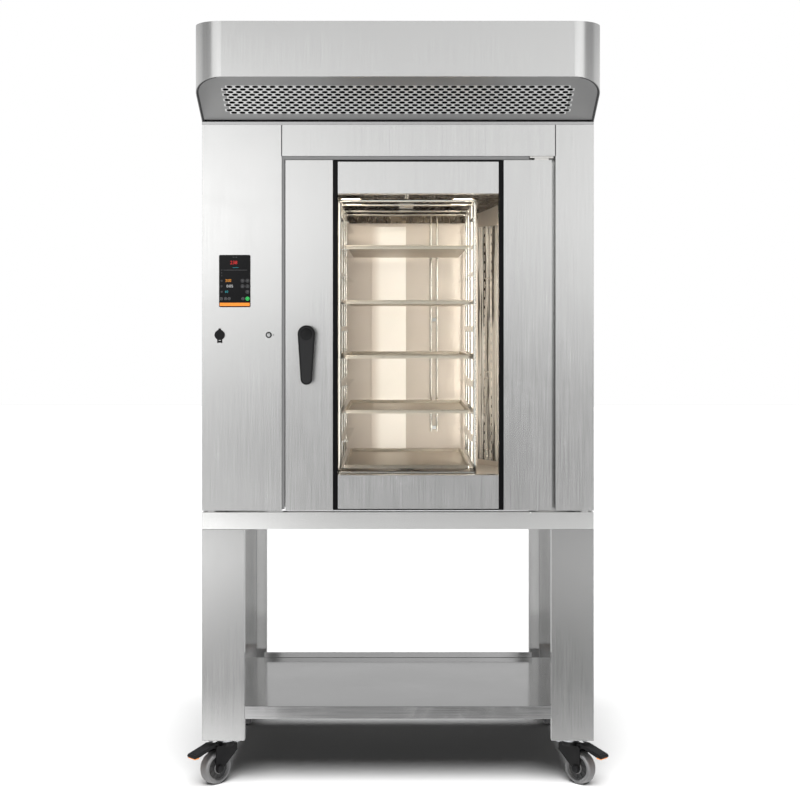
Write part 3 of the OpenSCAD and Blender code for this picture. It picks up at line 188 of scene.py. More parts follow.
def makeRippled():  # slow waves that thin sheet keeps after folding and welding
    values = [atPlace, ("Size", "Float", 3.0), ("Stretch", "Vector", (1, 1, 1))]
    tree, inputs, outputs = newGroup("sheetRipple", values, ["Height"])
    drawn = vector2(tree, "MULTIPLY", inputs["Place"], inputs["Stretch"])
    feed(tree, outputs, {"Height": noise(tree, drawn, inputs["Size"], 1.0)})
    return tree


def makeSettled():  # dust on faces that look up, and grime on those near the floor
    values = [atPlace, ("Facing", "Vector", (0, 0, 1)), ("Floor", "Float", 0.3)]
    tree, inputs, outputs = newGroup("settledDust", values, ["Dust", "Grime"])
    up = mapRange(tree, split(tree, inputs["Facing"])[2], 0.6, 0.95)
    height = split(tree, inputs["Place"])[2]
    low = mapRange(tree, math2(tree, "DIVIDE", height, inputs["Floor"]), 0.0, 1.0, 1.0, 0.0)
    rough = mapRange(tree, noise(tree, inputs["Place"], 14.0, 6.0), 0.35, 0.7, smooth=True)
    feed(tree, outputs, {"Dust": times(tree, up, rough), "Grime": times(tree, low, rough)})
    return tree


def makeHeated():  # straw-coloured heat tint in clouds, stronger towards the ceiling, and dried runs
    tree, inputs, outputs = newGroup("heatTint", [atPlace, ("Strength", "Float", 0.5)], ["Tint", "Runs"])
    clouds = mapRange(tree, noise(tree, inputs["Place"], 5.0, 5.0, Distortion=0.6), 0.3, 0.7)
    warmer = mapRange(tree, split(tree, inputs["Place"])[2], 0.9, 1.9, 0.35, 1.0)
    tall = vector2(tree, "MULTIPLY", inputs["Place"], (70, 70, 2.2))
    runs = mapRange(tree, noise(tree, tall, 1.0, 4.0), 0.58, 0.8, smooth=True)
    feed(tree, outputs, {"Tint": times(tree, times(tree, clouds, warmer), inputs["Strength"]), "Runs": runs})
    return tree


brushed = makeBrushed()
handled = makeHandled()
speckled = makeSpeckled()
rippled = makeRippled()
settled = makeSettled()
heated = makeHeated()
print("effects ready")


# Materials

grimeTo = 0.25  # height above the floor, in metres, that its grime reaches


def startLook(name):
    made = bpy.data.materials.new(name)
    made.use_nodes = True
    tree = made.node_tree
    place = add(tree, "TexCoord").outputs["Object"]
    return made, tree, tree.nodes["Principled BSDF"], place


def bumped(tree, height, strength, distance, normal=None):
    made = add(tree, "Bump", {"Strength": strength, "Distance": distance, "Height": height})
    if normal is not None:
        tree.links.new(normal, made.inputs["Normal"])
    return made.outputs["Normal"]


hoodSlope = {"edge": (-213, 2138), "fall": 25.59}  # the hood's sloped underside: lower edge and angle


def slotsAndPaintedShade(tree, place, rows):  # field of staggered slots on the hood's slope, which gets painted sheen, and a dark oval round each slot, which is painted shade that widens the dark of the holes
    out = vector2(tree, "SUBTRACT", place, mm(0, *hoodSlope["edge"]))
    fall = math.radians(hoodSlope["fall"])
    down = vector2(tree, "DOT_PRODUCT", out, (0, math.cos(fall), -math.sin(fall)), "Value")
    rowAt = math2(tree, "DIVIDE", math2(tree, "SUBTRACT", down, rows["first"] / 1000), rows["apart"] / 1000)
    row = math2(tree, "ROUND", rowAt)
    odd = times(tree, math2(tree, "FLOORED_MODULO", row, 2.0), 0.5)
    along = math2(tree, "DIVIDE", split(tree, out)[0], rows["pitch"] / 1000)
    shifted = math2(tree, "SUBTRACT", plus(tree, along, 0.5), odd)
    aside = math2(tree, "SUBTRACT", shifted, math2(tree, "ROUND", shifted))
    above = math2(tree, "SUBTRACT", rowAt, row)
    shares = []
    for part, half, step in ((aside, rows["rim"][0], rows["pitch"]), (above, rows["rim"][1], rows["apart"])):
        share = size(tree, math2(tree, "DIVIDE", part, half / step))
        shares.append(math2(tree, "POWER", share, rows["square"]))
    within = math2(tree, "LESS_THAN", size(tree, along), plus(tree, odd, rows["reach"]))
    middle = (rows["rows"] - 1) / 2
    listed = math2(tree, "LESS_THAN", size(tree, math2(tree, "SUBTRACT", rowAt, middle)), middle + 0.5)
    field = times(tree, within, listed)
    return field, times(tree, field, math2(tree, "LESS_THAN", plus(tree, *shares), 1.0))


def steelLook(name, values):  # sheet, tube or cast metal
    made, tree, shader, place = startLook(name)
    grain = useGroup(tree, brushed, Place=place, Grain=values["grain"])
    marks = useGroup(tree, handled, Place=place, Size=4.0)
    surface = add(tree, "NewGeometry").outputs
    dust = useGroup(tree, settled, Place=place, Facing=surface["Normal"], Floor=grimeTo)
    dark = rgb([c * values.get("darker", 0.88) for c in values["colour"]])
    streaks = grain["Streaks"]
    if values.get("crisp"):  # the streaks part into light and dark ones; on the corner sheets the dark ones are painted reflections
        streaks = mapRange(tree, streaks, *values["crisp"], smooth=True)
    base = mixColour(tree, streaks, dark, rgb(values["colour"]))
    if values.get("fade"):  # from one colour to the sheet's own along X, in metres; on the back wall this is the soft edge of its painted light
        start, end, colour = values["fade"]
        along = mapRange(tree, split(tree, place)[0], start, end, smooth=True)
        base = mixColour(tree, along, rgb(colour), base)
    banded = times(tree, grain["Bands"], values.get("bands", 0.12))
    base = mixColour(tree, banded, base, rgb(values.get("bandColour", dark)))
    if values.get("tint"):
        warm = useGroup(tree, heated, Place=place, Strength=values["tint"])
        base = mixColour(tree, warm["Tint"], base, rgb(values["tintColour"]))
        dried = times(tree, warm["Runs"], values.get("runs", 0.12))
        base = mixColour(tree, dried, base, rgb(values["runColour"]))
    grime = times(tree, dust["Grime"], values.get("grime", 0.1))
    dusty = plus(tree, times(tree, dust["Dust"], values.get("dust", 0.06)), grime)
    base = mixColour(tree, dusty, base, (0.33, 0.32, 0.3, 1))
    if values.get("slots"):  # painted sheen brightens the sheet between its slots, and painted shade darkens it round each of them
        between, rim = slotsAndPaintedShade(tree, place, values["slots"])
        base = mixColour(tree, between, base, rgb(values["slots"]["paintedSheen"]))
        base = mixColour(tree, rim, base, (0.002, 0.002, 0.002, 1))
    if values.get("face"):  # painted shade: cut edges that look away from the sheet's face, the slot walls among them, are made nearly black
        across = size(tree, vector2(tree, "DOT_PRODUCT", surface["True Normal"], values["face"], "Value"))
        base = mixColour(tree, mapRange(tree, across, 0.85, 0.95, 1.0, 0.0), base, (0.01, 0.01, 0.01, 1))
    rough = mapRange(tree, grain["Streaks"], 0.3, 0.7, *values["rough"])
    rough = plus(tree, rough, times(tree, marks["Wiped"], values.get("wiped", 0.04)))
    rough = plus(tree, rough, times(tree, marks["Prints"], values.get("prints", 0.08)))
    stretch = values.get("waveStretch", (1, 1, 1))
    wave = useGroup(tree, rippled, Place=place, Size=values.get("waveSize", 2.5), Stretch=stretch)
    normal = bumped(tree, wave["Height"], values.get("wave", 0.15), 0.02)
    normal = bumped(tree, grain["Streaks"], values.get("bump", 0.12), 0.0003, normal)
    metallic = values.get("metallic", 1.0)
    feed(tree, shader.inputs, {"Base Color": base, "Metallic": metallic, "Roughness": rough, "Normal": normal})
    if values.get("stretched"):  # reflections drawn out across the grain
        shader.inputs["Anisotropic"].default_value = values["stretched"]
        tangent = add(tree, "Tangent", direction_type="RADIAL", axis="Z").outputs[0]
        tree.links.new(tangent, shader.inputs["Tangent"])
    return made


def skinLook(name, values):  # plastic, rubber, powder coat and paint
    made, tree, shader, place = startLook(name)
    skin = useGroup(tree, speckled, Place=place, Size=values.get("size", 900.0))
    marks = useGroup(tree, handled, Place=place, Size=9.0)
    facing = add(tree, "NewGeometry").outputs["Normal"]
    dust = useGroup(tree, settled, Place=place, Facing=facing, Floor=grimeTo)
    base = mixColour(tree, skin["Flecks"], rgb(values["colour"]), rgb(values["fleck"]))
    base = mixColour(tree, times(tree, dust["Dust"], values.get("dust", 0.12)), base, (0.4, 0.38, 0.35, 1))
    base = mixColour(tree, times(tree, dust["Grime"], values.get("grime", 0.15)), base, (0.3, 0.28, 0.25, 1))
    rough = mapRange(tree, skin["Height"], 0.3, 1.0, *values["rough"])
    rough = plus(tree, rough, times(tree, marks["Prints"], values.get("prints", 0.1)))
    normal = bumped(tree, skin["Height"], values.get("bump", 0.15), values.get("depth", 0.0003))
    feed(tree, shader.inputs, {"Base Color": base, "Roughness": rough, "Normal": normal})
    shader.inputs["Specular IOR Level"].default_value = values.get("shine", 0.5)
    return made


def glassLook(name, values):
    made, tree, shader, place = startLook(name)
    marks = useGroup(tree, handled, Place=place, Size=3.0)
    rough = plus(tree, values["rough"], times(tree, marks["Prints"], values.get("prints", 0.03)))
    base = mixColour(tree, marks["Wiped"], rgb(values["colour"]), rgb(values["wipedColour"]))
    shader.inputs["Transmission Weight"].default_value = values.get("transmission", 1.0)
    shader.inputs["IOR"].default_value = values.get("ior", 1.45)
    feed(tree, shader.inputs, {"Base Color": base, "Roughness": rough})
    if values.get("glow"):
        shader.inputs["Emission Color"].default_value = rgb(values["glowColour"])
        shader.inputs["Emission Strength"].default_value = values["glow"]
    return made


sheetSteel = {
    "colour": (0.64, 0.64, 0.635), "grain": (900, 900, 7), "rough": (0.18, 0.26), "bump": 0.07, "darker": 0.84,
    "wave": 0.05, "stretched": 0.4, "bands": 0.05, "grime": 0.03, "prints": 0.03, "wiped": 0.015,
}
standSteel = {
    "colour": (0.58, 0.58, 0.575), "grain": (900, 900, 8), "rough": (0.11, 0.16), "bump": 0.05,
    "darker": 0.9, "metallic": 0.85,
    "wave": 0.04, "stretched": 0.2, "bands": 0.04, "grime": 0.05, "dust": 0.04, "prints": 0.02, "wiped": 0.01,
}
# darker, rougher copy of the stand's steel: painted shade of the gaps round the door
shadedLipSteel = {**standSteel, "colour": (0.3, 0.3, 0.3), "rough": (0.3, 0.4)}
shelfSteel = {
    "colour": (0.6, 0.6, 0.6), "grain": (5, 500, 500), "rough": (0.08, 0.13), "bump": 0.03,
    "wave": 0.15, "waveSize": 2.0, "grime": 0.06, "dust": 0.04,
}
chromeSteel = {
    "colour": (0.8, 0.79, 0.77), "grain": (300, 300, 300), "rough": (0.07, 0.12), "bump": 0.03, "wave": 0.0,
    "tint": 0.08, "tintColour": (0.62, 0.5, 0.32), "runColour": (0.4, 0.32, 0.22), "grime": 0.0,
}
chamberSteel = {
    "colour": (0.66, 0.6, 0.54), "grain": (500, 500, 3), "rough": (0.34, 0.42), "bump": 0.02,
    "wave": 0.06, "darker": 0.96, "waveSize": 3.0, "tint": 0.14, "tintColour": (0.5, 0.42, 0.34), "runs": 0.08,
    "runColour": (0.4, 0.34, 0.27), "grime": 0.0, "dust": 0.05, "metallic": 0.55,
}
# bright copy of the chamber's sheet for the back wall: a painted pool of light, its left edge fading into the
# chamber's colour
litBackSteel = {
    **chamberSteel, "colour": (0.98, 0.95, 0.9), "rough": (0.3, 0.38), "tint": 0.04, "runs": 0.03,
    "metallic": 0.3, "fade": (-0.096, -0.055, (0.66, 0.6, 0.54)),
}
# polished corner sheets: their near-black streaks, bands and runs are painted dark reflections; the heat tint
# is their own
paintedReflectionSteel = {
    "colour": (1, 0.99, 0.95), "grain": (75, 75, 2.6), "rough": (0.05, 0.1), "bump": 0.08, "wave": 0.9,
    "waveSize": 1.0, "waveStretch": (46, 46, 2.6), "tint": 0.1, "tintColour": (0.45, 0.36, 0.25), "runs": 0.8,
    "runColour": (0.03, 0.026, 0.02), "grime": 0.0, "bands": 0.2, "bandColour": (0.14, 0.12, 0.09),
    "darker": 0.05, "crisp": (0.42, 0.49), "metallic": 0.5,
}
# near-black copy of the corner sheets' steel for the chamber's ceiling: painted shade
shadedCeilingSteel = {
    **paintedReflectionSteel, "colour": (0.09, 0.08, 0.07), "rough": (0.2, 0.3), "waveStretch": (9, 9, 9),
    "runs": 0.1, "darker": 0.8, "crisp": None, "metallic": 1.0,
}
traySteel = {
    "colour": (0.84, 0.77, 0.67), "grain": (160, 900, 160), "rough": (0.34, 0.46), "bump": 0.05,
    "wave": 0.1, "metallic": 0.5,
    "tint": 0.2, "tintColour": (0.42, 0.33, 0.23), "runs": 0.2, "runColour": (0.26, 0.2, 0.14), "grime": 0.0,
}
grilleSteel = {
    "colour": (0.4, 0.4, 0.4), "grain": (8, 900, 900), "rough": (0.3, 0.4), "bump": 0.04, "wave": 0.05,
    # face is the sheet's normal, used for the painted shade on its cut edges
    "grime": 0.0, "face": (0, 0.432, 0.902),
    "slots": {
        # rim: half sizes of the painted shade round each slot; the colour below is the painted sheen between
        # the slots
        "first": 57, "apart": 13.5, "rows": 11, "pitch": 25.5, "reach": 20, "rim": (8.6, 5.9), "square": 2.6,
        "paintedSheen": (0.84, 0.84, 0.84),
    },
}
zincSteel = {
    "colour": (0.52, 0.53, 0.55), "grain": (90, 90, 90), "rough": (0.32, 0.5), "bump": 0.1,
    "wave": 0.0, "grime": 0.3,
}
hotRod = {
    "colour": (0.2, 0.18, 0.16), "grain": (300, 300, 300), "rough": (0.45, 0.6), "bump": 0.1, "wave": 0.0,
    "tint": 0.6, "tintColour": (0.3, 0.2, 0.18), "runColour": (0.1, 0.09, 0.1), "grime": 0.0,
}
ductSteel = {
    "colour": (0.55, 0.57, 0.58), "grain": (26, 26, 26), "rough": (0.3, 0.46), "bump": 0.05, "wave": 0.1,
    "darker": 0.75, "dust": 0.2, "grime": 0.0,
}
brassLook = {
    "colour": (0.66, 0.47, 0.2), "grain": (500, 500, 500), "rough": (0.25, 0.38), "bump": 0.06,
    "wave": 0.0, "grime": 0.0,
}
casterPaint = {
    "colour": (0.008, 0.008, 0.009), "fleck": (0.02, 0.02, 0.021), "rough": (0.36, 0.55), "size": 1300.0,
    "bump": 0.2, "dust": 0.03, "grime": 0.04, "shine": 0.3,
}
treadRubber = {
    "colour": (0.27, 0.27, 0.275), "fleck": (0.22, 0.22, 0.22), "rough": (0.55, 0.75), "size": 700.0,
    "grime": 0.2, "shine": 0.3,
}
satinBlack = {
    "colour": (0.006, 0.006, 0.0065), "fleck": (0.012, 0.012, 0.0125), "rough": (0.34, 0.5), "size": 1500.0,
    "bump": 0.08, "dust": 0.02, "grime": 0.0, "shine": 0.25,
}
fieldBlack = {**satinBlack, "colour": (0.022, 0.022, 0.023), "fleck": (0.03, 0.03, 0.031), "shine": 0.3}
glossBlack = {
    "colour": (0.004, 0.004, 0.0045), "fleck": (0.006, 0.006, 0.0065), "rough": (0.16, 0.24), "size": 600.0,
    "bump": 0.02, "dust": 0.01, "grime": 0.0, "shine": 0.12,
}
# painted shade: the near-black sheet behind the hood's slots
slotShadeSheet = {
    "colour": (0.006, 0.006, 0.006), "fleck": (0.012, 0.012, 0.011), "rough": (0.8, 0.95), "size": 240.0,
    "bump": 0.8, "depth": 0.002, "dust": 0.0, "grime": 0.0, "shine": 0.1,
}
# painted shade for the seams between the front panels
seamShadeGrey = {
    "colour": (0.1, 0.1, 0.1), "fleck": (0.14, 0.14, 0.14), "rough": (0.6, 0.8), "bump": 0.3, "shine": 0.2,
}
screenBlack = {
    "colour": (0.004, 0.004, 0.005), "fleck": (0.005, 0.005, 0.006), "rough": (0.08, 0.12), "size": 200.0,
    "bump": 0.0, "prints": 0.18, "shine": 0.12,
}
motorPaint = {
    "colour": (0.2, 0.22, 0.24), "fleck": (0.26, 0.28, 0.3), "rough": (0.4, 0.6), "size": 500.0, "bump": 0.3,
    "depth": 0.0008,
}
woolBoard = {
    "colour": (0.5, 0.44, 0.24), "fleck": (0.66, 0.6, 0.4), "rough": (0.85, 1.0), "size": 160.0, "bump": 0.8,
    "depth": 0.004,
}
sealRubber = {"colour": (0.035, 0.035, 0.036), "fleck": (0.06, 0.06, 0.06), "rough": (0.5, 0.7), "size": 800.0}
whiteCap = {
    "colour": (0.8, 0.81, 0.81), "fleck": (0.75, 0.76, 0.76), "rough": (0.25, 0.35), "bump": 0.03, "dust": 0.0,
}
doorPane = {
    "colour": (0.98, 0.985, 0.975), "wipedColour": (0.965, 0.975, 0.96), "rough": 0.0,
    "prints": 0.01, "ior": 1.1,
}
lampPane = {
    "colour": (1, 0.95, 0.85), "wipedColour": (1, 0.92, 0.8), "rough": 0.25, "transmission": 0.4,
    "glow": 2.2, "glowColour": (1, 0.86, 0.62),
}

looks = {
    "stainless": steelLook("stainless", sheetSteel),
    "stainless_dull": steelLook("standSteel", standSteel),
    "bright_steel": steelLook("brightSteel", chromeSteel),
    "chamber_sheet": steelLook("chamberSheet", chamberSteel),
    "tray_steel": steelLook("traySheet", traySteel),
    "grille_steel": steelLook("grilleSheet", grilleSteel),
    "zinc": steelLook("zincPlate", zincSteel),
    "caster_black": skinLook("casterPaint", casterPaint),
    "wheel_grey": skinLook("treadRubber", treadRubber),
    "mineral_wool": skinLook("woolBoard", woolBoard),
    "motor_grey": skinLook("motorPaint", motorPaint),
    "rod_steel": steelLook("rodSteel", hotRod),
    "lamp_glass": glassLook("lampGlass", lampPane),
    "screen_glass": skinLook("screenGlass", screenBlack),
    "black_plastic": skinLook("satinBlack", satinBlack),
    "galvanised": steelLook("ductSheet", ductSteel),
    "brass": steelLook("brass", brassLook),
    "black_trim": skinLook("glossBlack", glossBlack),
    "door_glass": glassLook("doorGlass", doorPane),
    "seal_rubber": skinLook("sealRubber", sealRubber),
    "button_white": skinLook("whiteCap", whiteCap),
}
shelfLook = steelLook("shelfSteel", shelfSteel)
litBackLook = steelLook("litBackSteel", litBackSteel)
paintedReflectionLook = steelLook("paintedReflectionSteel", paintedReflectionSteel)
shadedCeilingLook = steelLook("shadedCeilingSteel", shadedCeilingSteel)
shadedLipLook = steelLook("shadedLipSteel", shadedLipSteel)
# darker copy of the cabinet's sheet for the roof: painted shade on the top
shadedRoofLook = steelLook("shadedRoofSteel", {**sheetSteel, "colour": (0.45, 0.45, 0.45)})
# lighter copy of the stand's steel for its rails: painted light
litRailLook = steelLook("litRailSteel", {**standSteel, "colour": (0.97, 0.97, 0.96)})
seamShadeLook = skinLook("seamShadeGrey", seamShadeGrey)
slotShadeLook = skinLook("slotShadeSheet", slotShadeSheet)
fieldLook = skinLook("fieldBlack", fieldBlack)


def plainLook(name, colour, rough, glow=0.0):  # small marks, lit screen shapes and the pedal pads' painted glow, with a faint grain
    made, tree, shader, place = startLook(name)
    skin = useGroup(tree, speckled, Place=place, Size=2500.0)
    base = mixColour(tree, skin["Flecks"], rgb(colour), rgb([c * 0.85 for c in colour]))
    rough = mapRange(tree, skin["Height"], 0.3, 1.0, rough, rough + 0.1)
    feed(tree, shader.inputs, {"Base Color": base, "Roughness": rough})
    if glow:
        feed(tree, shader.inputs, {"Emission Color": base, "Emission Strength": glow})
    return made


slotOf = {part["node"]: part["material_slot"] for part in frame["record"]["subparts"]}


def paint(piece, look):
    if not piece.data.materials:
        piece.data.materials.append(look)
    for index in range(len(piece.data.materials)):
        piece.data.materials[index] = look


for name, piece in nodes.items():
    paint(piece, looks[slotOf[name]])
paint(nodes["stand_shelf"], shelfLook)
paint(nodes["stand_rails"], litRailLook)
paint(nodes["roof_panel"], shadedRoofLook)
paint(nodes["chamber_ceiling"], shadedCeilingLook)
print("materials ready")


# Rounded edges of the folded sheets and bars

edgeRadius = {
    "door_stiles": 1.2, "door_rails": 1.2, "control_panel": 1.2, "right_column": 1.2, "lintel_panel": 1.0,
    "stand_rails": 1.5, "stand_sides": 1.5, "stand_shelf": 1.5, "side_panels": 1.2, "roof_panel": 0.8,
    "touch_screen": 1.0, "handle_lever": 2.5, "hinge_brackets": 1.0, "door_inner_frame": 1.2,
    "caster_plates": 0.8, "brake_pedal_left": 1.2, "brake_pedal_right": 1.2, "front_fork_left": 0.6,
    "front_fork_right": 0.6, "rear_forks": 0.6, "usb_cap": 0.6, "power_button": 0.5, "door_gasket": 2.0,
}


def rounded(piece, width, segments=2, limit=30):
    edge = piece.modifiers.new("edge", "BEVEL")
    edge.width = width / 1000
    edge.segments = segments
    edge.limit_method = "ANGLE"
    edge.angle_limit = math.radians(limit)
    edge.harden_normals = True


def soften(piece, radius):
    weld = piece.modifiers.new("weld", "WELD")
    weld.merge_threshold = 0.00001
    flat = piece.modifiers.new("flat", "DECIMATE")
    flat.decimate_type = "DISSOLVE"
    flat.angle_limit = math.radians(0.5)
    rounded(piece, radius, limit=40)


for name, radius in edgeRadius.items():
    soften(nodes[name], radius)
print("edges ready")


# Pieces that the scene adds


def keep(name, bm, look, body, smooth=30):  # makes a piece of the drawn mesh, which rides on a body
    mesh = bpy.data.meshes.new(name)
    bmesh.ops.recalc_face_normals(bm, faces=bm.faces)
    bm.to_mesh(mesh)
    bm.free()
    piece = bpy.data.objects.new(name, mesh)
    scene.collection.objects.link(piece)
    paint(piece, look)
    if smooth:
        for face in mesh.polygons:
            face.use_smooth = True
        mesh.set_sharp_from_angle(angle=math.radians(smooth))
    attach(piece, body)
    return piece


def towards(point, normal):  # a place on a surface whose Z looks along the normal
    return Matrix.Translation(point) @ Vector(normal).to_track_quat("Z", "Y").to_matrix().to_4x4()


def hexOut(angle):
    return math.cos(math.radians(30)) / math.cos((angle % math.radians(60)) - math.radians(30))


def crossOut(angle):
    return 0.3 + 0.7 * abs(math.cos(2 * angle)) ** 2.5


def circle(steps):
    return [2 * math.pi * i / steps for i in range(steps)]


def loft(bm, rings, ends="open", wrap=True):  # walls between rings; ends are "open", "meet" or "capped"
    rings = [[bm.verts.new(point) for point in ring] for ring in rings]
    for a, b in zip(rings, rings[1:] + (rings[:1] if ends == "meet" else [])):
        for k in range(len(a) if wrap else len(a) - 1):
            j = (k + 1) % len(a)
            bm.faces.new((a[k], b[k], b[j], a[j]))
    if ends == "capped":
        bm.faces.new(rings[0])
        bm.faces.new(list(reversed(rings[-1])))


def turned(bm, place, profile, steps=24):  # (radius, height) in mm, and a shape where it isn't round
    rings = []
    for radius, height, *shape in profile:
        reaches = [(a, radius * (shape[0](a) if shape else 1) / 1000) for a in circle(steps)]
        rings.append([place @ Vector((r * math.cos(a), r * math.sin(a), height / 1000)) for a, r in reaches])
    loft(bm, rings, "capped")


def rolledRing(bm, centre, radius, wide, high, steps, sides):  # a bead that lies flat round a centre
    x, y, z = centre
    rings = []
    for u in circle(steps):
        section = [(radius + wide * math.cos(v), high * math.sin(v)) for v in circle(sides)]
        rings.append([mm(x + r * math.cos(u), y + r * math.sin(u), z + up) for r, up in section])
    loft(bm, rings, "meet")


def roundedOutline(w, h, r, steps):  # half sizes and corner radius; points and the way each looks
    points = []
    for cx, cy, start in ((w - r, h - r, 0), (r - w, h - r, 90), (r - w, r - h, 180), (w - r, r - h, 270)):
        for k in range(steps + 1):
            a = math.radians(start + 90 / steps * k)
            points.append((cx + r * math.cos(a), cy + r * math.sin(a), math.cos(a), math.sin(a)))
    return points


def panHead(r):
    return [
        (r, 0), (r, 0.35 * r), (0.86 * r, 0.6 * r), (0.62 * r, 0.72 * r), (0.52 * r, 0.73 * r, crossOut),
        (0.42 * r, 0.3 * r, crossOut),
    ]


def hexBolt(r):
    return [
        (1.25 * r, 0), (1.25 * r, 0.16 * r), (1.12 * r, 0.2 * r), (0.98 * r, 0.2 * r, hexOut),
        (0.98 * r, 0.78 * r, hexOut), (0.84 * r, 0.92 * r, hexOut), (0.5 * r, 0.94 * r),
    ]


def rivet(r):
    return [(r, 0), (0.93 * r, 0.25 * r), (0.72 * r, 0.45 * r), (0.36 * r, 0.56 * r)]


def bar(bm, low, high, place=None):  # a block between two corners in millimetres
    corners = [mm(x, y, z) if place is None else place @ Vector((x / 1000, y / 1000, z / 1000))
               for x in (low[0], high[0]) for y in (low[1], high[1]) for z in (low[2], high[2])]
    v = [bm.verts.new(c) for c in corners]
    for face in ((0, 1, 3, 2), (4, 6, 7, 5), (0, 4, 5, 1), (2, 3, 7, 6), (0, 2, 6, 4), (1, 5, 7, 3)):
        bm.faces.new([v[i] for i in face])


def fasteners(name, places, profile, look, body, steps=24):
    bm = bmesh.new()
    for point, normal in places:
        place = towards(mm(*point), normal) @ Matrix.Rotation(random.uniform(0, 6.28), 4, "Z")
        turned(bm, place, profile, steps)
    keep(name, bm, look, body)


bright = looks["bright_steel"]
zinc = looks["zinc"]

# Screws of the cabinet, the hood and the rear panel
panelScrews = {
    "radius": 4.5, "heights": (866, 2018, 2054), "depths": (60, 350, 650, 940), "side": 600, "rear": 1000,
    "rearX": 584, "rearZ": (858, 2022, 2056), "count": 5,
}

places = []
for side in (-1, 1):
    for y in panelScrews["depths"]:
        places += [((side * panelScrews["side"], y, z), (side, 0, 0)) for z in panelScrews["heights"]]
fasteners("sideScrews", places, panHead(panelScrews["radius"]), bright, "cabinet")

places = []
count, reach, rear = panelScrews["count"], panelScrews["rearX"], panelScrews["rear"]
low, high, hood = panelScrews["rearZ"]
for i in range(count + 1):
    x = -reach + 2 * reach * i / count
    places += [((x, rear, z), (0, 1, 0)) for z in (low, high, hood)]
for i in range(1, count):
    z = low + (high - low) * i / count
    places += [((side * reach, rear, z), (0, 1, 0)) for side in (-1, 1)]
fasteners("rearScrews", places, panHead(panelScrews["radius"]), bright, "cabinet")

# Pressed hoods over the slots of the rear panel
louvreHood = {
    "width": 136, "rise": 6, "drop": 8.1, "top": 4.2, "rows": 8, "pitch": 14,
    "x": (-420, 420), "z": (1083.2, 1797.8),
}

bm = bmesh.new()
for cx in louvreHood["x"]:
    for cz in louvreHood["z"]:
        for row in range(louvreHood["rows"]):
            z = cz + (row - (louvreHood["rows"] - 1) / 2) * louvreHood["pitch"] + louvreHood["top"]
            rings = []
            for t in [i / 12 for i in range(13)]:
                x = cx + louvreHood["width"] * (t - 0.5)
                rise = louvreHood["rise"] * min(1, math.sin(math.pi * t) * 2.6) ** 0.6
                turns = [math.pi / 2 * k / 6 for k in range(7)]
                drops = [louvreHood["drop"] * (1 - math.cos(a)) for a in turns]
                rings.append([mm(x, 1000 + rise * math.sin(a), z - drop) for a, drop in zip(turns, drops)])
            loft(bm, rings, wrap=False)
louvres = keep("rearLouvres", bm, looks["stainless"], "cabinet")
thick = louvres.modifiers.new("sheet", "SOLIDIFY")
thick.thickness = 0.0008
thick.offset = -1

# Rolled bead and rivets of the exhaust spigot
spigotTrim = {
    "x": 300, "y": 700, "radius": 75, "beads": ((2324, 2.2), (2357, 1.6)), "rivets": 8,
    "rivetsOut": 92, "flange": 2302.3,
}

bm = bmesh.new()
for z, thickness in spigotTrim["beads"]:
    centre = (spigotTrim["x"], spigotTrim["y"], z)
    rolledRing(bm, centre, spigotTrim["radius"], thickness * 0.6, thickness, 64, 8)
keep("spigotBeads", bm, looks["galvanised"], "cabinet", 60)
places = []
for i in range(spigotTrim["rivets"]):
    angle = 2 * math.pi * (i + 0.5) / spigotTrim["rivets"]
    x = spigotTrim["x"] + spigotTrim["rivetsOut"] * math.cos(angle)
    y = spigotTrim["y"] + spigotTrim["rivetsOut"] * math.sin(angle)
    places.append(((x, y, spigotTrim["flange"]), (0, 0, 1)))
fasteners("spigotRivets", places, rivet(4.5), looks["galvanised"], "cabinet", 16)

# Castors: bolts, axle caps, ribs of the wheel discs, pedal pads
casterDetail = {
    "side": 535, "front": 62, "rear": 698, "trail": 39, "turn": 45, "axle": 50, "cap": 11.5, "capOut": 27,
    "capShape": ((1, 0), (1, 1.6), (0.9, 3.4), (0.7, 4.6), (0.35, 5.3)), "ribs": 10, "disc": (18.5, 33),
    "depth": (11.9, 15.2), "boltX": 40.3, "boltY": 31.8, "plate": 135, "pads": (-11.5, 0, 11.5),
    "discShape": ((8, 11.95), (33.6, 11.95), (33.6, 12.5), (18.3, 13.2), (17.2, 15.6), (8, 15.6)),
}
capLook = skinLook("capPlastic", {**satinBlack, "colour": (0.012, 0.012, 0.013)})
discPlastic = {
    "colour": (0.04, 0.041, 0.043), "fleck": (0.06, 0.06, 0.063), "rough": (0.45, 0.6), "bump": 0.12,
}
discLook = skinLook("discPlastic", discPlastic)
# the pedal pads glow a little: painted light on their shaded undersides
orangeGlowLook = plainLook("orangePad", (1, 0.34, 0.06), 0.4, 0.4)


def casterFrame(side, front):
    turn = side * casterDetail["turn"] if front else 0
    return (Matrix.Translation(mm(side * casterDetail["side"], casterDetail["front" if front else "rear"], 0))
            @ Matrix.Rotation(math.radians(turn), 4, "Z"))


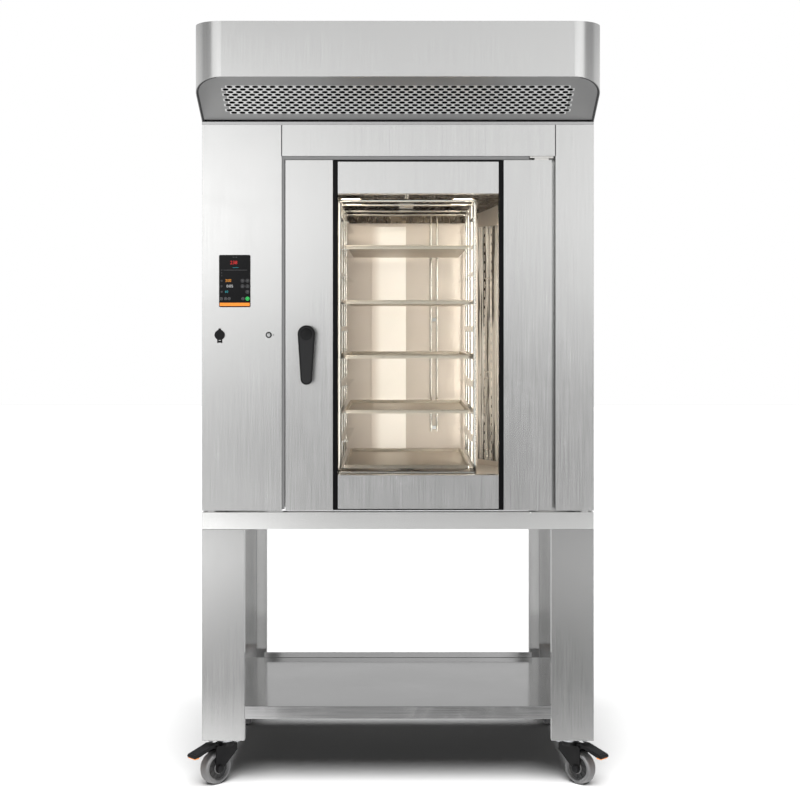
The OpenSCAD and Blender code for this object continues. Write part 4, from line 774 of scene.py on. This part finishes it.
for side, word in ((-1, "left"), (1, "right")):
    for front in (True, False):
        base = casterFrame(side, front)
        axle = Vector((0, -casterDetail["trail"] if front else 0, casterDetail["axle"])) / 1000
        body = f"front_fork_{word}" if front else "cabinet"
        end = "front" if front else "rear"
        bm = bmesh.new()
        for out in (-1, 1):
            hub = base @ towards(axle + Vector((out * casterDetail["capOut"] / 1000, 0, 0)), (out, 0, 0))
            cap = [(share * casterDetail["cap"], high) for share, high in casterDetail["capShape"]]
            turned(bm, hub, cap, 32)
        keep(f"axleCaps_{end}_{word}", bm, capLook, body, 50)
        bm = bmesh.new()
        low, high = casterDetail["depth"]
        inner, outer = casterDetail["disc"]
        for out in (-1, 1):
            for angle in circle(casterDetail["ribs"]):
                spoke = base @ Matrix.Translation(axle) @ Matrix.Rotation(angle, 4, "X")
                bar(bm, (out * low, -1.1, inner), (out * high, 1.1, outer), spoke)
            turned(bm, base @ towards(axle, (out, 0, 0)), casterDetail["discShape"], 40)
        rounded(keep(f"discRibs_{end}_{word}", bm, discLook, f"{end}_wheel_{word}", 0), 0.5)
        bm = bmesh.new()
        for x in (-casterDetail["boltX"], casterDetail["boltX"]):
            for y in (-casterDetail["boltY"], casterDetail["boltY"]):
                bolt = base.to_translation() + Vector((x, y, casterDetail["plate"])) / 1000
                turned(bm, towards(bolt, (0, 0, -1)), hexBolt(6.5))
        keep(f"plateBolts_{end}_{word}", bm, zinc, "cabinet")
    bm = bmesh.new()
    for x in casterDetail["pads"]:
        bar(bm, (x - 4.6, -131.5, 93.2), (x + 4.6, -113, 98.2), casterFrame(side, True))
    rounded(keep(f"pedalPad_{word}", bm, orangeGlowLook, f"brake_pedal_{word}", 0), 1.2, 3)
print("castor details ready")

# Weld beads where the stand's rails meet its sides, seen at the outer corners
weldBead = {"x": 599.2, "z": 788, "width": 1.5, "steps": 44, "runs": ((4, 70), (688, 68))}

bm = bmesh.new()
for side in (-1, 1):
    for start, length in weldBead["runs"]:
        rings = []
        for i in range(weldBead["steps"] + 1):
            x, y, z = side * weldBead["x"], start + length * i / weldBead["steps"], weldBead["z"]
            r = weldBead["width"] * (0.86 + 0.14 * abs(math.sin(i * 1.4)))
            rings.append([mm(x + r * math.cos(a) * 0.7, y, z + r * math.sin(a)) for a in circle(8)])
        loft(bm, rings)
keep("standWelds", bm, zinc, "cabinet", 50)

# Folded lips of the cabinet's front, seen as grey bands in the gaps round the door; their dark colour is
# painted shade of the gaps
gapLips = {
    "left": -355.9, "reach": 8.1, "depth": (8, 9.2), "low": 848, "top": 1930.4, "right": 402, "back": 60,
}

bm = bmesh.new()
near, far = gapLips["depth"]
left, top = gapLips["left"], gapLips["top"]
bar(bm, (left, near, gapLips["low"]), (left + gapLips["reach"], far, top))
bar(bm, (left, far, gapLips["low"]), (left + 1.2, gapLips["back"], top))
bar(bm, (left + gapLips["reach"], near, top - 9.6), (gapLips["right"], far, top))
bar(bm, (left + 1.2, far, top - 1.2), (gapLips["right"], gapLips["back"], top))
keep("gapLips", bm, shadedLipLook, "cabinet", 0)

# Dark strips in the seams between the front panels: painted shade of the seams
frontSeamShade = {"uprights": (-356, 482.5), "low": 1930.6, "high": 2026, "width": 1.6}

bm = bmesh.new()
for x in frontSeamShade["uprights"]:
    half = frontSeamShade["width"]
    bar(bm, (x - half, -0.25, frontSeamShade["low"]), (x + half, 0.4, frontSeamShade["high"]))
keep("frontSeamShade", bm, seamShadeLook, "cabinet", 0)

# Hood's underside: a near-black sheet behind the slots, painted shade that makes them look dark, and a dark
# strip beside the slotted panel, painted shade of the gap there
hoodUnder = {
    "shadeSheetBox": ((-545, 14, 12), (545, 222, 14)), "straight": 515, "radius": 85, "seal": (1.6, 7.6),
    "depth": (2.2, 4.8), "sweep": 78, "ends": (211, 153),
}

slope = math.radians(hoodSlope["fall"])
place = Matrix.Translation(mm(0, *hoodSlope["edge"])) @ Matrix.Rotation(-slope, 4, "X")
bm = bmesh.new()
bar(bm, *hoodUnder["shadeSheetBox"], place)
keep("slotShadeSheet", bm, slotShadeLook, "cabinet", 0)

# painted shade: a dark strip in the gap beside the slotted panel, round its front corners
bm = bmesh.new()
stations = [(0.0, end) for end in hoodUnder["ends"]]  # straight beside the sheet, then round its front corner
stations += [(math.radians(hoodUnder["sweep"] * k / 12), None) for k in range(13)]
for side in (-1, 1):
    rings = []
    for turn, end in stations:
        ring = []
        for inset, depth in ((0, 0), (1, 0), (1, 1), (0, 1)):
            r = hoodUnder["radius"] - hoodUnder["seal"][inset]
            x = side * (hoodUnder["straight"] + r * math.cos(turn))
            down = (hoodUnder["radius"] - r * math.sin(turn) if end is None else end) / math.cos(slope)
            ring.append(place @ (Vector((x, down, hoodUnder["depth"][depth])) / 1000))
        rings.append(ring)
    loft(bm, rings, "capped")
keep("hoodGapShade", bm, looks["seal_rubber"], "cabinet", 0)

# Lever: a slightly raised field on its face
leverField = {"x": -277, "z": 1386, "span": 135.75, "head": 21.5, "tip": 12.8, "depth": (-55.45, -54.9)}

outline = []
for centre, radius, start in ((0, leverField["head"], 0), (-leverField["span"], leverField["tip"], 180)):
    for k in range(25):
        a = math.radians(start + 7.5 * k)
        outline.append((radius * math.cos(a), centre + radius * math.sin(a)))
bm = bmesh.new()
x, z = leverField["x"], leverField["z"]
loft(bm, [[mm(x + u, y, z + v) for u, v in outline] for y in leverField["depth"]], "capped")
rounded(keep("leverField", bm, fieldLook, "handle", 0), 0.25)

# Door: screws of the inner frame and bolts of the hinge bracket
doorScrews = {"radius": 3.6, "z": (880, 1100, 1382, 1660, 1885), "x": (-310, 436)}

places = [((x, 60, z), (0, 1, 0)) for x in doorScrews["x"] for z in doorScrews["z"]]
places += [((x, 60, z), (0, 1, 0)) for x in (-120, 62, 245) for z in (866, 1896)]
fasteners("doorScrews", places, panHead(doorScrews["radius"]), bright, "door")
places = [((x, 4, 1927.4), (0, -1, 0)) for x in (414, 467)]
fasteners("hingeBolts", places, panHead(2.3), bright, "cabinet")

# Chamber: rivets of the walls, screws of the air baffle, strainer over the drain
rivetRows = {"radius": 4, "right": (120, 200, 560, 630), "heights": (960, 1180, 1400, 1620, 1820)}

places = [((414, y, z), (-1, 0, 0)) for y in rivetRows["right"] for z in rivetRows["heights"]]
places += [((-232 + x, 855, z), (0, -1, 0)) for x in (14, 508) for z in rivetRows["heights"]]
fasteners("wallRivets", places, rivet(rivetRows["radius"]), bright, "cabinet", 16)
places = [((-356, y, z), (1, 0, 0)) for y in (96, 632) for z in (925, 1382, 1840)]
fasteners("baffleScrews", places, hexBolt(6), bright, "cabinet")

# A sheet on the back wall, brightened as a painted pool of light, and slotted guide sheets with rivets in the
# rear corners
chamberTrim = {
    "sheet": ((-96, 29), (915, 1772)), "corner": ((414, 650), (290, 855)), "low": 925, "high": 1770,
    "slots": 26, "columns": (0.62, 0.8), "slot": 3.2, "clusters": (952, 1232, 1569),
    "cluster": ((0.66, 12), (0.72, 12), (0.76, 12), (0.66, -12), (0.76, -12), (0.9, 0), (0.3, 0), (0.2, 14)),
}

bm = bmesh.new()
(left, right), (low, high) = chamberTrim["sheet"]
bar(bm, (left, 853.6, low), (right, 854.8, high))
rounded(keep("litBackSheet", bm, litBackLook, "cabinet", 0), 0.4)

bm = bmesh.new()
rivets = bmesh.new()
(frontX, frontDepth), (rearX, rearDepth) = chamberTrim["corner"]
span = math.hypot(rearX - frontX, rearDepth - frontDepth)
for mirrored in (False, True):
    across = Vector(((rearX - frontX) / span, (rearDepth - frontDepth) / span, 0))
    out = Vector((-across.y, across.x, 0))
    start = Vector((frontX, frontDepth, 0))
    if mirrored:  # the left corner, mirrored about the middle of the chamber
        start.x = 58 - start.x
        across.x, out.x = -across.x, -out.x
    edges = [0.16]
    for share in chamberTrim["columns"]:
        edges += [share - chamberTrim["slot"] / span, share + chamberTrim["slot"] / span]
    edges.append(0.97)
    place = Matrix.Translation(mm(start.x, start.y, 0)) @ Matrix(
        ((across.x, out.x, 0, 0), (across.y, out.y, 0, 0), (0, 0, 1, 0), (0, 0, 0, 1))
    )
    for a, b in zip(edges[::2], edges[1::2]):
        bar(bm, (a * span, 0.4, chamberTrim["low"]), (b * span, 1.6, chamberTrim["high"]), place)
    pitch = (chamberTrim["high"] - chamberTrim["low"]) / chamberTrim["slots"]
    for a, b in zip(edges[1::2], edges[2::2]):  # bridges between the slots
        for i in range(chamberTrim["slots"] + 1):
            z = chamberTrim["low"] + i * pitch
            low, high = max(z - 5, chamberTrim["low"]), min(z + 5, chamberTrim["high"])
            bar(bm, (a * span, 0.4, low), (b * span, 1.6, high), place)
    for z in chamberTrim["clusters"]:
        for du, dz in chamberTrim["cluster"]:
            point = place @ Vector((du * span / 1000, 0.0016, (z + dz) / 1000))
            turned(rivets, towards(point, out), rivet(3.4), 14)
keep("cornerSheets", bm, paintedReflectionLook, "cabinet", 0)
keep("cornerRivets", rivets, bright, "cabinet")

strainer = {"centre": (29, 810, 906), "radii": (4, 9, 14, 19, 24), "wire": 0.9, "spoke": 24.5}

bm = bmesh.new()
for radius in strainer["radii"]:
    rolledRing(bm, strainer["centre"], radius, strainer["wire"], strainer["wire"], 48, 6)
for turn in (0, 60, 120):
    spoke = Matrix.Translation(mm(*strainer["centre"])) @ Matrix.Rotation(math.radians(turn), 4, "Z")
    bar(bm, (-strainer["spoke"], -0.9, -1.1), (strainer["spoke"], 0.9, 0.4), spoke)
keep("drainStrainer", bm, bright, "cabinet", 50)

# Rack: rolled wire in the trays' rims and weld spots where runners meet the posts
rackDetail = {
    "trays": 5, "first": 957, "pitch": 174.5, "x": 29, "y": 470, "half": (198.4, 298.4), "wire": 2.0,
    "corner": 9, "rim": 10.2, "weldX": 211.5, "weldY": 290.4,
}

bm = bmesh.new()
for i in range(rackDetail["trays"]):
    z = rackDetail["first"] + i * rackDetail["pitch"] + rackDetail["rim"]
    rings = []
    for px, py, nx, ny in roundedOutline(*rackDetail["half"], rackDetail["corner"], 6):
        section = [(rackDetail["wire"] * math.cos(a), rackDetail["wire"] * math.sin(a)) for a in circle(8)]
        x, y = rackDetail["x"] + px, rackDetail["y"] + py
        rings.append([mm(x + nx * out, y + ny * out, z + up) for out, up in section])
    loft(bm, rings, "meet")
keep("trayRims", bm, looks["tray_steel"], "rack", 60)

bm = bmesh.new()
for i in range(rackDetail["trays"]):
    z = rackDetail["first"] + i * rackDetail["pitch"]
    for sx in (-1, 1):
        for sy in (-1, 1):
            x, y = rackDetail["x"] + sx * rackDetail["weldX"], rackDetail["y"] + sy * rackDetail["weldY"]
            for dz in (4, 12):
                turned(bm, towards(mm(x, y, z + dz), (-sx, 0, 0)), rivet(3.4), 12)
keep("rackWelds", bm, bright, "rack", 50)

# Rack: empty runners half-way between the trays, and uprights between the corner posts
rackSides = {
    "flange": (186, 211), "upright": (209.5, 211), "height": 16, "sheet": 1.5, "length": (176, 764), "rod": 4,
    "rods": (372, 568), "at": 214.8, "low": 923, "high": 1806,
}

bm = bmesh.new()
middle = rackDetail["x"]
for side in (-1, 1):
    for i in range(rackDetail["trays"]):
        z = rackDetail["first"] + (i + 0.5) * rackDetail["pitch"]
        for (near, far), low, high in (
            (rackSides["flange"], z - rackSides["sheet"], z),
            (rackSides["upright"], z, z + rackSides["height"]),
        ):
            left, right = sorted((middle + side * near, middle + side * far))
            bar(bm, (left, rackSides["length"][0], low), (right, rackSides["length"][1], high))
keep("emptyRunners", bm, bright, "rack", 0)

bm = bmesh.new()
profile = [(rackSides["rod"], 0), (rackSides["rod"], rackSides["high"] - rackSides["low"])]
for side in (-1, 1):
    for y in rackSides["rods"]:
        turned(bm, towards(mm(middle + side * rackSides["at"], y, rackSides["low"]), (0, 0, 1)), profile, 16)
keep("sideRods", bm, bright, "rack", 60)
print("chamber and rack details ready")

# Screen: generic readings, buttons and a bar, drawn as thin lit shapes on the glass
screenPlan = {"x": -499.5, "z": 1548, "y": -2.55, "thickness": 0.25}
screenColours = {
    "red": ((0.6, 0.02, 0.02), 0.6), "orange": ((0.8, 0.3, 0.03), 0.6), "white": ((0.6, 0.6, 0.6), 0.5),
    "teal": ((0.02, 0.3, 0.35), 0.5), "grey": ((0.12, 0.12, 0.125), 0.25), "green": ((0.03, 0.5, 0.1), 0.7),
    "amber": ((0.85, 0.26, 0.03), 0.7),
}
screenShapes = {key: bmesh.new() for key in screenColours}


def screenPoint(u, v, lift=0.0):  # u to the right, v up from the screen's middle
    return mm(screenPlan["x"] + u, screenPlan["y"] - lift, screenPlan["z"] + v)


def screenPlate(colour, outline):
    rings = [[screenPoint(u, v, lift) for u, v in outline] for lift in (0, screenPlan["thickness"])]
    loft(screenShapes[colour], rings, "capped")


def screenBox(colour, u, v, w, h, r=1.2):
    screenPlate(colour, [(u + x, v + y) for x, y, lookX, lookY in roundedOutline(w / 2, h / 2, r, 4)])


def screenRing(colour, u, v, r, width):
    corners = [(r, 0), (r, screenPlan["thickness"]), (r - width, screenPlan["thickness"]), (r - width, 0)]
    rings = []
    for a in circle(28):
        rings.append([screenPoint(u + q * math.cos(a), v + q * math.sin(a), lift) for q, lift in corners])
    loft(screenShapes[colour], rings, "meet")


def screenNumber(colour, text, u, v, size):
    curve = bpy.data.curves.new("reading", "FONT")
    curve.body = text
    curve.size = size / 1000
    curve.extrude = screenPlan["thickness"] / 2000
    curve.align_x = "CENTER"
    curve.align_y = "CENTER"
    curve.resolution_u = 3
    written = bpy.data.objects.new("reading", curve)
    scene.collection.objects.link(written)
    bpy.context.view_layer.update()
    mesh = bpy.data.meshes.new_from_object(written.evaluated_get(bpy.context.evaluated_depsgraph_get()))
    place = Matrix.Translation(screenPoint(u, v, screenPlan["thickness"] / 2))
    mesh.transform(place @ Matrix.Rotation(math.radians(90), 4, "X"))
    screenShapes[colour].from_mesh(mesh)
    bpy.data.objects.remove(written)
    bpy.data.curves.remove(curve)


screenNumber("grey", "12 : 45", 0, 72.5, 5)
screenNumber("red", "238", -3, 56, 15)
screenBox("teal", 3, 41, 18, 1.0, 0.4)
screenBox("grey", 2, 33.5, 72, 0.9, 0.4)
for v in (33.5, 25, 16):
    screenBox("grey", -40, v, 2, 2, 0.6)
screenNumber("orange", "200", -20, 1, 12)
screenNumber("white", "0:05", -15, -16, 12)
screenNumber("teal", "60", -25, -33, 10)
for v in (1, -16, -33):
    screenRing("grey", -40, v, 2.6, 0.8)
for u, v in ((24, 1), (39, 1), (24, -16), (39, -16), (39, -33)):
    screenRing("grey", u, v, 5.4, 1.2)
    screenBox("grey", u, v, 3.6, 3.6, 0.6)
for u in (-41, -28, -17, 25):
    screenRing("grey", u, -54, 4.6, 1.3)
    screenBox("grey", u, -54, 3, 3, 0.5)
screenRing("green", 39, -54, 6, 2.2)
screenBox("green", 39, -54, 5, 5, 1.2)
screenBox("amber", 0, -71.5, 92, 10, 1.2)
for key, (colour, glow) in screenColours.items():
    lit = plainLook(f"screen{key.title()}", colour, 0.3, glow)
    keep(f"screen_{key}", screenShapes[key], lit, "cabinet", 0)

# Small printed dot beside the push button
buttonDot = {"place": (-381.5, 0, 1383), "shape": ((2.0, 0), (2.0, 0.12), (1.8, 0.2))}

bm = bmesh.new()
turned(bm, towards(mm(*buttonDot["place"]), (0, -1, 0)), buttonDot["shape"])
keep("buttonMark", bm, plainLook("printedGrey", (0.12, 0.12, 0.12), 0.5), "cabinet", 50)
print("screen ready")


# Studio

studio = {
    "reach": 0.4, "brightest": 2.5, "white": 1.0, "matt": 0.14, "floorColour": (0.5, 0.5, 0.5),
    "floorSize": 40,
    "heights": (  # brightness of the surroundings from straight below to overhead
        (-0.40, 1.2), (-0.31, 1.9), (-0.287, 1.4), (-0.25, 0.16), (-0.20, 0.64), (-0.16, 1.26), (-0.14, 1.4),
        (-0.124, 0.4), (-0.112, 0.25), (-0.09, 0.4), (-0.063, 0.7), (-0.012, 1.05), (0.02, 1.34), (0.05, 1.95),
        (0.10, 2.0), (0.12, 1.5), (0.137, 1.2), (0.158, 1.07), (0.175, 0.92), (0.206, 0.74), (0.30, 0.6),
        (0.40, 0.3),
    ),
    "sides": (  # from the far left to the far right, for the reflections on the front
        (-1.0, 0.5), (-0.76, 0.5), (-0.66, 1.6), (-0.3, 1.5), (-0.2, 1.4), (-0.12, 1.36), (-0.08, 0.69),
        (-0.03, 0.6), (0.05, 0.54), (0.1, 0.49), (0.14, 0.63), (0.2, 0.9), (0.3, 1.7), (0.66, 1.9),
        (0.76, 0.5), (1.0, 0.5),
    ),
    "behind": ((-0.4, 0.5), (0.0, 0.9), (0.17, 0.95), (0.21, 0.57), (0.3, 0.5), (0.4, 0.3)),
    "turn": (-0.05, 0.25), "hood": (0.145, 0.17), "hoodWidth": (0.15, 0.25, 1.0, 0.0),
    "hoodLevel": (-0.1, 0.1, 1.0, 1.44), "limit": (0.28, 0.45, 2.6, 1.3), "hoodLimit": 0.8,
}


def levels(tree, value, low, high, steps):  # brightness by position, through a ramp
    where = mapRange(tree, value, low, high)
    ramp = add(tree, "ValToRGB", {0: where})
    marks = ramp.color_ramp.elements
    for place, level in steps[1:-1]:
        marks.new((place - low) / (high - low))
    for mark, (place, level) in zip(marks, steps):
        mark.position = (place - low) / (high - low)
        grey = level / studio["brightest"]
        mark.color = (grey, grey, grey, 1)
    return times(tree, ramp.outputs[0], studio["brightest"])


world = bpy.data.worlds.new("studio")
scene.world = world
world.use_nodes = True
tree = world.node_tree
tree.nodes.clear()
towardsX, towardsY, towardsZ = split(tree, add(tree, "TexCoord").outputs["Generated"])
height = levels(tree, towardsZ, -studio["reach"], studio["reach"], studio["heights"])
across = levels(tree, towardsX, -1, 1, studio["sides"])
level = mapRange(tree, towardsZ, *studio["hood"])  # the hood's front is lit evenly from left to right
middle = mapRange(tree, size(tree, towardsX), *studio["hoodWidth"])
across = mixValue(tree, times(tree, level, middle), across, mapRange(tree, towardsX, *studio["hoodLevel"]))
limit = mapRange(tree, size(tree, towardsX), *studio["limit"])  # no burnt-out sides from other angles
limit = plus(tree, limit, times(tree, level, studio["hoodLimit"]))
front = math2(tree, "MINIMUM", times(tree, height, across), limit)
behind = levels(tree, towardsZ, -studio["reach"], studio["reach"], studio["behind"])
strength = mixValue(tree, mapRange(tree, towardsY, *studio["turn"]), front, behind)
rays = add(tree, "LightPath").outputs
direct = math2(tree, "LESS_THAN", rays["Diffuse Depth"], 0.5)  # the floor isn't lit by what the steel mirrors
mirrored = times(tree, rays["Is Glossy Ray"], direct)
strength = mixValue(tree, mirrored, studio["matt"], strength)
seen = rays["Is Camera Ray"]
softBack = add(tree, "Background", {"Color": (1, 1, 1, 1), "Strength": strength}).outputs[0]
whiteBack = add(tree, "Background", {"Color": (1, 1, 1, 1), "Strength": studio["white"]}).outputs[0]
chosen = add(tree, "MixShader", {0: seen, 1: softBack, 2: whiteBack}).outputs[0]
tree.links.new(chosen, tree.nodes.new("ShaderNodeOutputWorld").inputs[0])

bm = bmesh.new()
bmesh.ops.create_grid(bm, x_segments=24, y_segments=24, size=studio["floorSize"] / 2)
floorMesh = bpy.data.meshes.new("studioFloor")
bm.to_mesh(floorMesh)
bm.free()
floorLook, tree, shader, place = startLook("studioFloor")
cloud = noise(tree, place, 3.0, 4.0)
darker = rgb([c * 0.985 for c in studio["floorColour"]])
base = mixColour(tree, mapRange(tree, cloud, 0.3, 0.7), rgb(studio["floorColour"]), darker)
feed(tree, shader.inputs, {"Base Color": base, "Roughness": 0.9})
shader.inputs["Specular IOR Level"].default_value = 0.0
floor = bpy.data.objects.new("studioFloor", floorMesh)
floor.data.materials.append(floorLook)
floor.visible_glossy = False  # the surroundings' lower half stands in for it in reflections
scene.collection.objects.link(floor)


def softBox(name, place, aim, sides, power, colour=(1, 1, 1), mirrored=True):
    data = bpy.data.lights.new(name, "AREA")
    data.shape = "RECTANGLE"
    data.size, data.size_y = sides[0] / 1000, sides[1] / 1000
    data.energy = power
    data.color = colour
    made = bpy.data.objects.new(name, data)
    made.location = mm(*place)
    made.rotation_euler = (mm(*aim) - mm(*place)).to_track_quat("-Z", "Y").to_euler()
    made.visible_camera = False
    made.visible_glossy = mirrored
    scene.collection.objects.link(made)


softBox("keyBox", (-2600, -5200, 3000), (-300, 0, 1700), (2200, 1600), 5, mirrored=False)
for i, x in enumerate((-151, 209)):
    softBox(f"ovenLamp{i}", (x, 177.3, 1848), (x, 300, 900), (56, 56), 1.0, (1, 0.9, 0.78))
softBox("chamberLeft", (-205, 95, 1380), (100, 855, 1380), (26, 860), 0.4, (1, 0.93, 0.85))
softBox("chamberRight", (384, 95, 1380), (-60, 855, 1380), (26, 860), 0.45, (1, 0.93, 0.85))
softBox("chamberBack", (29, 790, 1343), (29, 855, 1343), (430, 857), 1.2, (1, 0.925, 0.86), mirrored=False)
softBox("chamberCorner", (300, 330, 1380), (352, 752, 1380), (40, 860), 1.9, (1, 0.95, 0.88))

for side, word in ((-1, "left"), (1, "right")):  # what the rear legs mirror, in front of them
    for i, (x, width, power) in enumerate(((548, 56, 0.105), (587, 24, 0.011))):
        softBox(f"legGlow{i}_{word}", (side * x, 32, 470), (side * x, 700, 470), (width, 640), power)


def sunLight(name, values, lit):  # from above; lights only the given objects
    data = bpy.data.lights.new(name, "SUN")
    data.energy = values["power"]
    data.angle = math.radians(values["softness"])
    made = bpy.data.objects.new(name, data)
    made.rotation_euler = (math.radians(values["tilt"]), 0, 0)
    made.visible_glossy = False
    group = bpy.data.collections.new(name)
    for piece in lit:
        group.objects.link(piece)
    made.light_linking.receiver_collection = group
    scene.collection.objects.link(made)
    return made


overSun = {"power": 4.9, "softness": 8, "tilt": 8.7}
floorSun = {"power": 8.4, "softness": 50, "tilt": 29}  # only the stand's pieces shade the floor
standPrefixes = ("stand_", "front_", "rear_forks", "rear_wheel", "caster", "brake")
sunLight("overSun", overSun, [piece for piece in scene.objects if piece.type == "MESH" and piece is not floor])
shading = bpy.data.collections.new("shadesFloor")
for name, piece in nodes.items():
    if name.startswith(standPrefixes):
        shading.objects.link(piece)
sunLight("floorSun", floorSun, [floor]).light_linking.blocker_collection = shading
print("studio ready")
